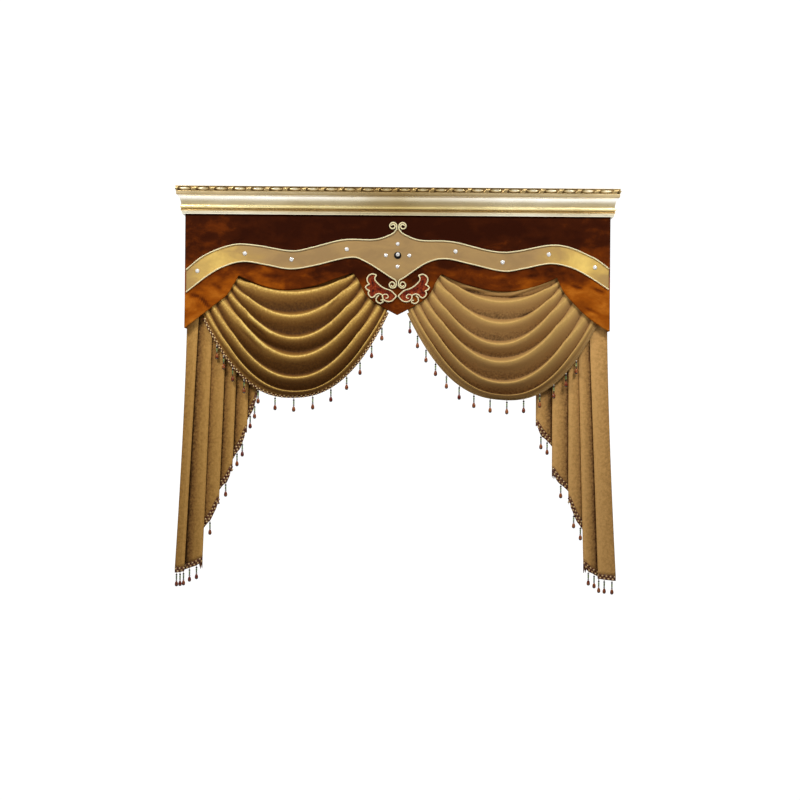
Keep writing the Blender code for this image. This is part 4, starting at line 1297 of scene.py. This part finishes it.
def tape_station(hem, arc, height, upright):
    """Upper and lower front edge of the tape at one place, the way to its back and along it."""
    point = point_on(hem, arc)[0]
    before = point_on(hem, max(arc - CORNER_REACH, 0))[1]
    after = point_on(hem, arc + CORNER_REACH)[1]
    along = (before + after).normalized()
    down = Vector((along.z, 0, -along.x)).normalized()
    gap = SWAG_HEM_GAP
    stretch = 1
    if upright:
        down = Vector((0, 0, -1))
        gap = PLEAT_HEM_GAP
        stretch = 1 / max(math.hypot(along.x, along.y), LEAST_SLOPE)
    back = along.cross(down).normalized() * TAPE_THICKNESS
    upper = point + down * gap * stretch - back * TAPE_FRONT_SHARE
    return upper, upper + down * height * stretch, back, along


def finish_part(name, bm, mat, mirrored, angle=None):
    """Piece of a fringe, mirrored to the right side where it is asked for."""
    if mirrored:
        bmesh.ops.scale(bm, vec=(-1, 1, 1), verts=bm.verts)
    piece = put_mesh(name, bm, mat, angle)
    return piece


def make_fringe(label, node, hem, drops, height, upright=False, mirrored=False, plain=False):
    """Tape below a hem, its checker of beads unless it is plain, and the drops."""
    total = lengths_along(hem)[-1]
    steps = max(int(total / TAPE_STEP), 2)
    bm = bmesh.new()
    last = None
    for i in range(steps + 1):
        upper, lower, back, along = tape_station(hem, total * i / steps, height, upright)
        inset = back * TAPE_INSET
        ring = [bm.verts.new(p) for p in (upper + inset, lower + inset, lower + back, upper + back)]
        if last:
            for k in range(4):
                bm.faces.new((last[k], last[(k + 1) % 4], ring[(k + 1) % 4], ring[k]))
        else:
            bm.faces.new(ring[::-1])
        last = ring
    bm.faces.new(last)
    pieces = [finish_part("%s_tape" % label, bm, plain_tape if plain else beaded_tape, mirrored, 40)]
    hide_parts(node)
    rows = max(round(height / CHECK_PITCH), 2)
    count = int(total / CHECK_PITCH)
    beads = [] if plain else [(0, "pale", pale_bead, PALE_BEAD), (1, "dark", dark_bead, DARK_BEAD)]
    for parity, colour, mat, radius in beads:
        bm = bmesh.new()
        for i in range(count):
            upper, lower, back, along = tape_station(hem, total * (i + 0.5) / count, height, upright)
            if upright and along.x < OPEN_SLOPE:
                continue
            for r in range(rows):
                if (i + r) % 2 == parity:
                    spot = Matrix.Translation(upper.lerp(lower, (r + 0.5) / rows) + back * BEAD_SINK)
                    bmesh.ops.create_icosphere(bm, subdivisions=1, radius=radius, matrix=spot)
        pieces.append(finish_part("%s_beads_%s" % (label, colour), bm, mat, mirrored))
    for part in drop_finish:
        bm = bmesh.new()
        for number, arc in enumerate(drops):
            upper, lower, back, along = tape_station(hem, arc, height, upright)
            root = lower + back * 0.5
            turn = Matrix.Rotation(DROP_TURN * number, 3, "Z")
            for kind, profile in DROP_PARTS:
                if kind != part:
                    continue
                ring = [bm.verts.new(turn @ Vector((radius, 0, drop)) + root) for radius, drop in profile]
                edges = [bm.edges.new(pair) for pair in zip(ring, ring[1:])]
                bmesh.ops.spin(bm, geom=ring + edges, cent=root, axis=(0, 0, 1), angle=2 * math.pi,
                               steps=DROP_SIDES, use_merge=True)
        bmesh.ops.remove_doubles(bm, verts=bm.verts, dist=0.00002)
        bmesh.ops.holes_fill(bm, edges=bm.edges, sides=0)
        pieces.append(finish_part("%s_%s" % (label, part), bm, drop_finish[part], mirrored))
    return pieces


def tail_drops(pleats, lengths):
    """Lengths along the hem of the bead drops, on each pleat's open face."""
    drops = []
    index = 0
    for number, pleat in enumerate(pleats):
        face = FIRST_FACE if number == 0 else PLEAT_FACE
        start = lengths[index * PLEAT_STEPS]
        open_face = lengths[(index + len(face)) * PLEAT_STEPS] - start
        count = pleat[5]
        low, high = FIRST_OPEN if number == 0 else PLEAT_OPEN
        drops += [start + open_face * (low + (high - low) * (i + 0.5) / count) for i in range(count)]
        index += len(face) + TURN_COLUMNS
    return drops


for label in ("left", "right"):
    hem = swag_hems[label]
    first, last, count, spread = SWAG_DROPS[label]
    drops = [lengths_along(hem)[-1] * (first + (last - first) * (i / (count - 1)) ** spread)
             for i in range(count)]
    fringe = make_fringe("swag_trim_" + label, "swag_fringe_" + label, hem, drops, SWAG_TAPE,
                         plain=label == "right")
    hem = tail_hems[label]
    drops = tail_drops(tail_pleats[label], lengths_along(hem))
    fringe = make_fringe("tail_trim_" + label, "tail_fringe_" + label, hem, drops, TAIL_TAPE,
                         upright=True, mirrored=label == "right")


# Floor, lights and camera
# Plain pale studio floor, a large soft light each side and a camera square to the window.

FLOOR_Z = -2.7
CAMERA_PLACE = (0.0165, -9.0, -0.978)
CAMERA_ROLL = 0.0080
LENS = 84.9
FLOOR_GLOW = 1.05
FLOOR_GLOW_IN_GLOSS = 1.45

bm = bmesh.new()
bmesh.ops.create_circle(bm, cap_ends=True, segments=64, radius=4.0)
bmesh.ops.translate(bm, vec=(0, 0, FLOOR_Z), verts=bm.verts)
floor_mesh = bpy.data.meshes.new("floor")
bm.to_mesh(floor_mesh)
bm.free()
floor = bpy.data.objects.new("floor", floor_mesh)
pale, nodes, links, shader = new_material("pale floor", (0.90, 0.90, 0.89), 0.8)
glow = nodes.new("ShaderNodeEmission")
rays = nodes.new("ShaderNodeLightPath")
lit = nodes.new("ShaderNodeMixShader")
glow_share = sum_of(nodes, links, rays.outputs["Is Glossy Ray"], 1.0, rays.outputs["Is Camera Ray"])
links.new(glow_share, lit.inputs["Fac"])
strength = map_range(nodes, links, rays.outputs["Is Glossy Ray"], 0, 1, FLOOR_GLOW, FLOOR_GLOW_IN_GLOSS)
links.new(strength, glow.inputs["Strength"])
links.new(shader.outputs["BSDF"], lit.inputs[1])
links.new(glow.outputs["Emission"], lit.inputs[2])
links.new(lit.outputs["Shader"], nodes["Material Output"].inputs["Surface"])
floor_mesh.materials.append(pale)
bpy.context.collection.objects.link(floor)

# name, place, what it is aimed at, size, power
for name, place, aim, size, power in (
        ("light left", (-1.5, -1.7, 0.9), (-0.5, -0.15, -0.6), 0.7, 34),
        ("light right", (1.5, -1.7, 0.9), (0.5, -0.15, -0.6), 0.7, 32),
        ("light middle", (0.0, -3.4, 1.4), (0.0, -0.15, -0.7), 1.4, 16)):
    lamp_data = bpy.data.lights.new(name, "AREA")
    lamp_data.shape = "DISK"
    lamp_data.size = size
    lamp_data.energy = power
    lamp = bpy.data.objects.new(name, lamp_data)
    lamp.location = place
    lamp.rotation_euler = (Vector(aim) - Vector(place)).to_track_quat("-Z", "Y").to_euler()
    bpy.context.collection.objects.link(lamp)

world = bpy.data.worlds.new("studio")
world.use_nodes = True
nodes, links = world.node_tree.nodes, world.node_tree.links
nodes.clear()
seen = nodes.new("ShaderNodeBackground")
seen.inputs["Color"].default_value = (1, 1, 1, 1)
seen.inputs["Strength"].default_value = 1.1
fill = nodes.new("ShaderNodeBackground")
fill.inputs["Color"].default_value = (1.0, 0.97, 0.92, 1)
fill.inputs["Strength"].default_value = 0.10
rays = nodes.new("ShaderNodeLightPath")
through = nodes.new("ShaderNodeMath")
through.operation = "MAXIMUM"
mixed = nodes.new("ShaderNodeMixShader")
output = nodes.new("ShaderNodeOutputWorld")
links.new(rays.outputs["Is Camera Ray"], through.inputs[0])
links.new(rays.outputs["Is Transmission Ray"], through.inputs[1])
bright = sum_of(nodes, links, rays.outputs["Is Glossy Ray"], 0.40, through.outputs["Value"])
links.new(bright, mixed.inputs["Fac"])
links.new(fill.outputs["Background"], mixed.inputs[1])
links.new(seen.outputs["Background"], mixed.inputs[2])
links.new(mixed.outputs["Shader"], output.inputs["Surface"])
bpy.context.scene.world = world
bpy.context.scene.view_settings.view_transform = "Standard"

camera_data = bpy.data.cameras.new("camera")
camera_data.lens = LENS
camera_data.sensor_width = 36
camera = bpy.data.objects.new("camera", camera_data)
camera.location = CAMERA_PLACE
camera.rotation_euler = (math.radians(90), -CAMERA_ROLL, 0)
bpy.context.collection.objects.link(camera)
bpy.context.scene.camera = camera
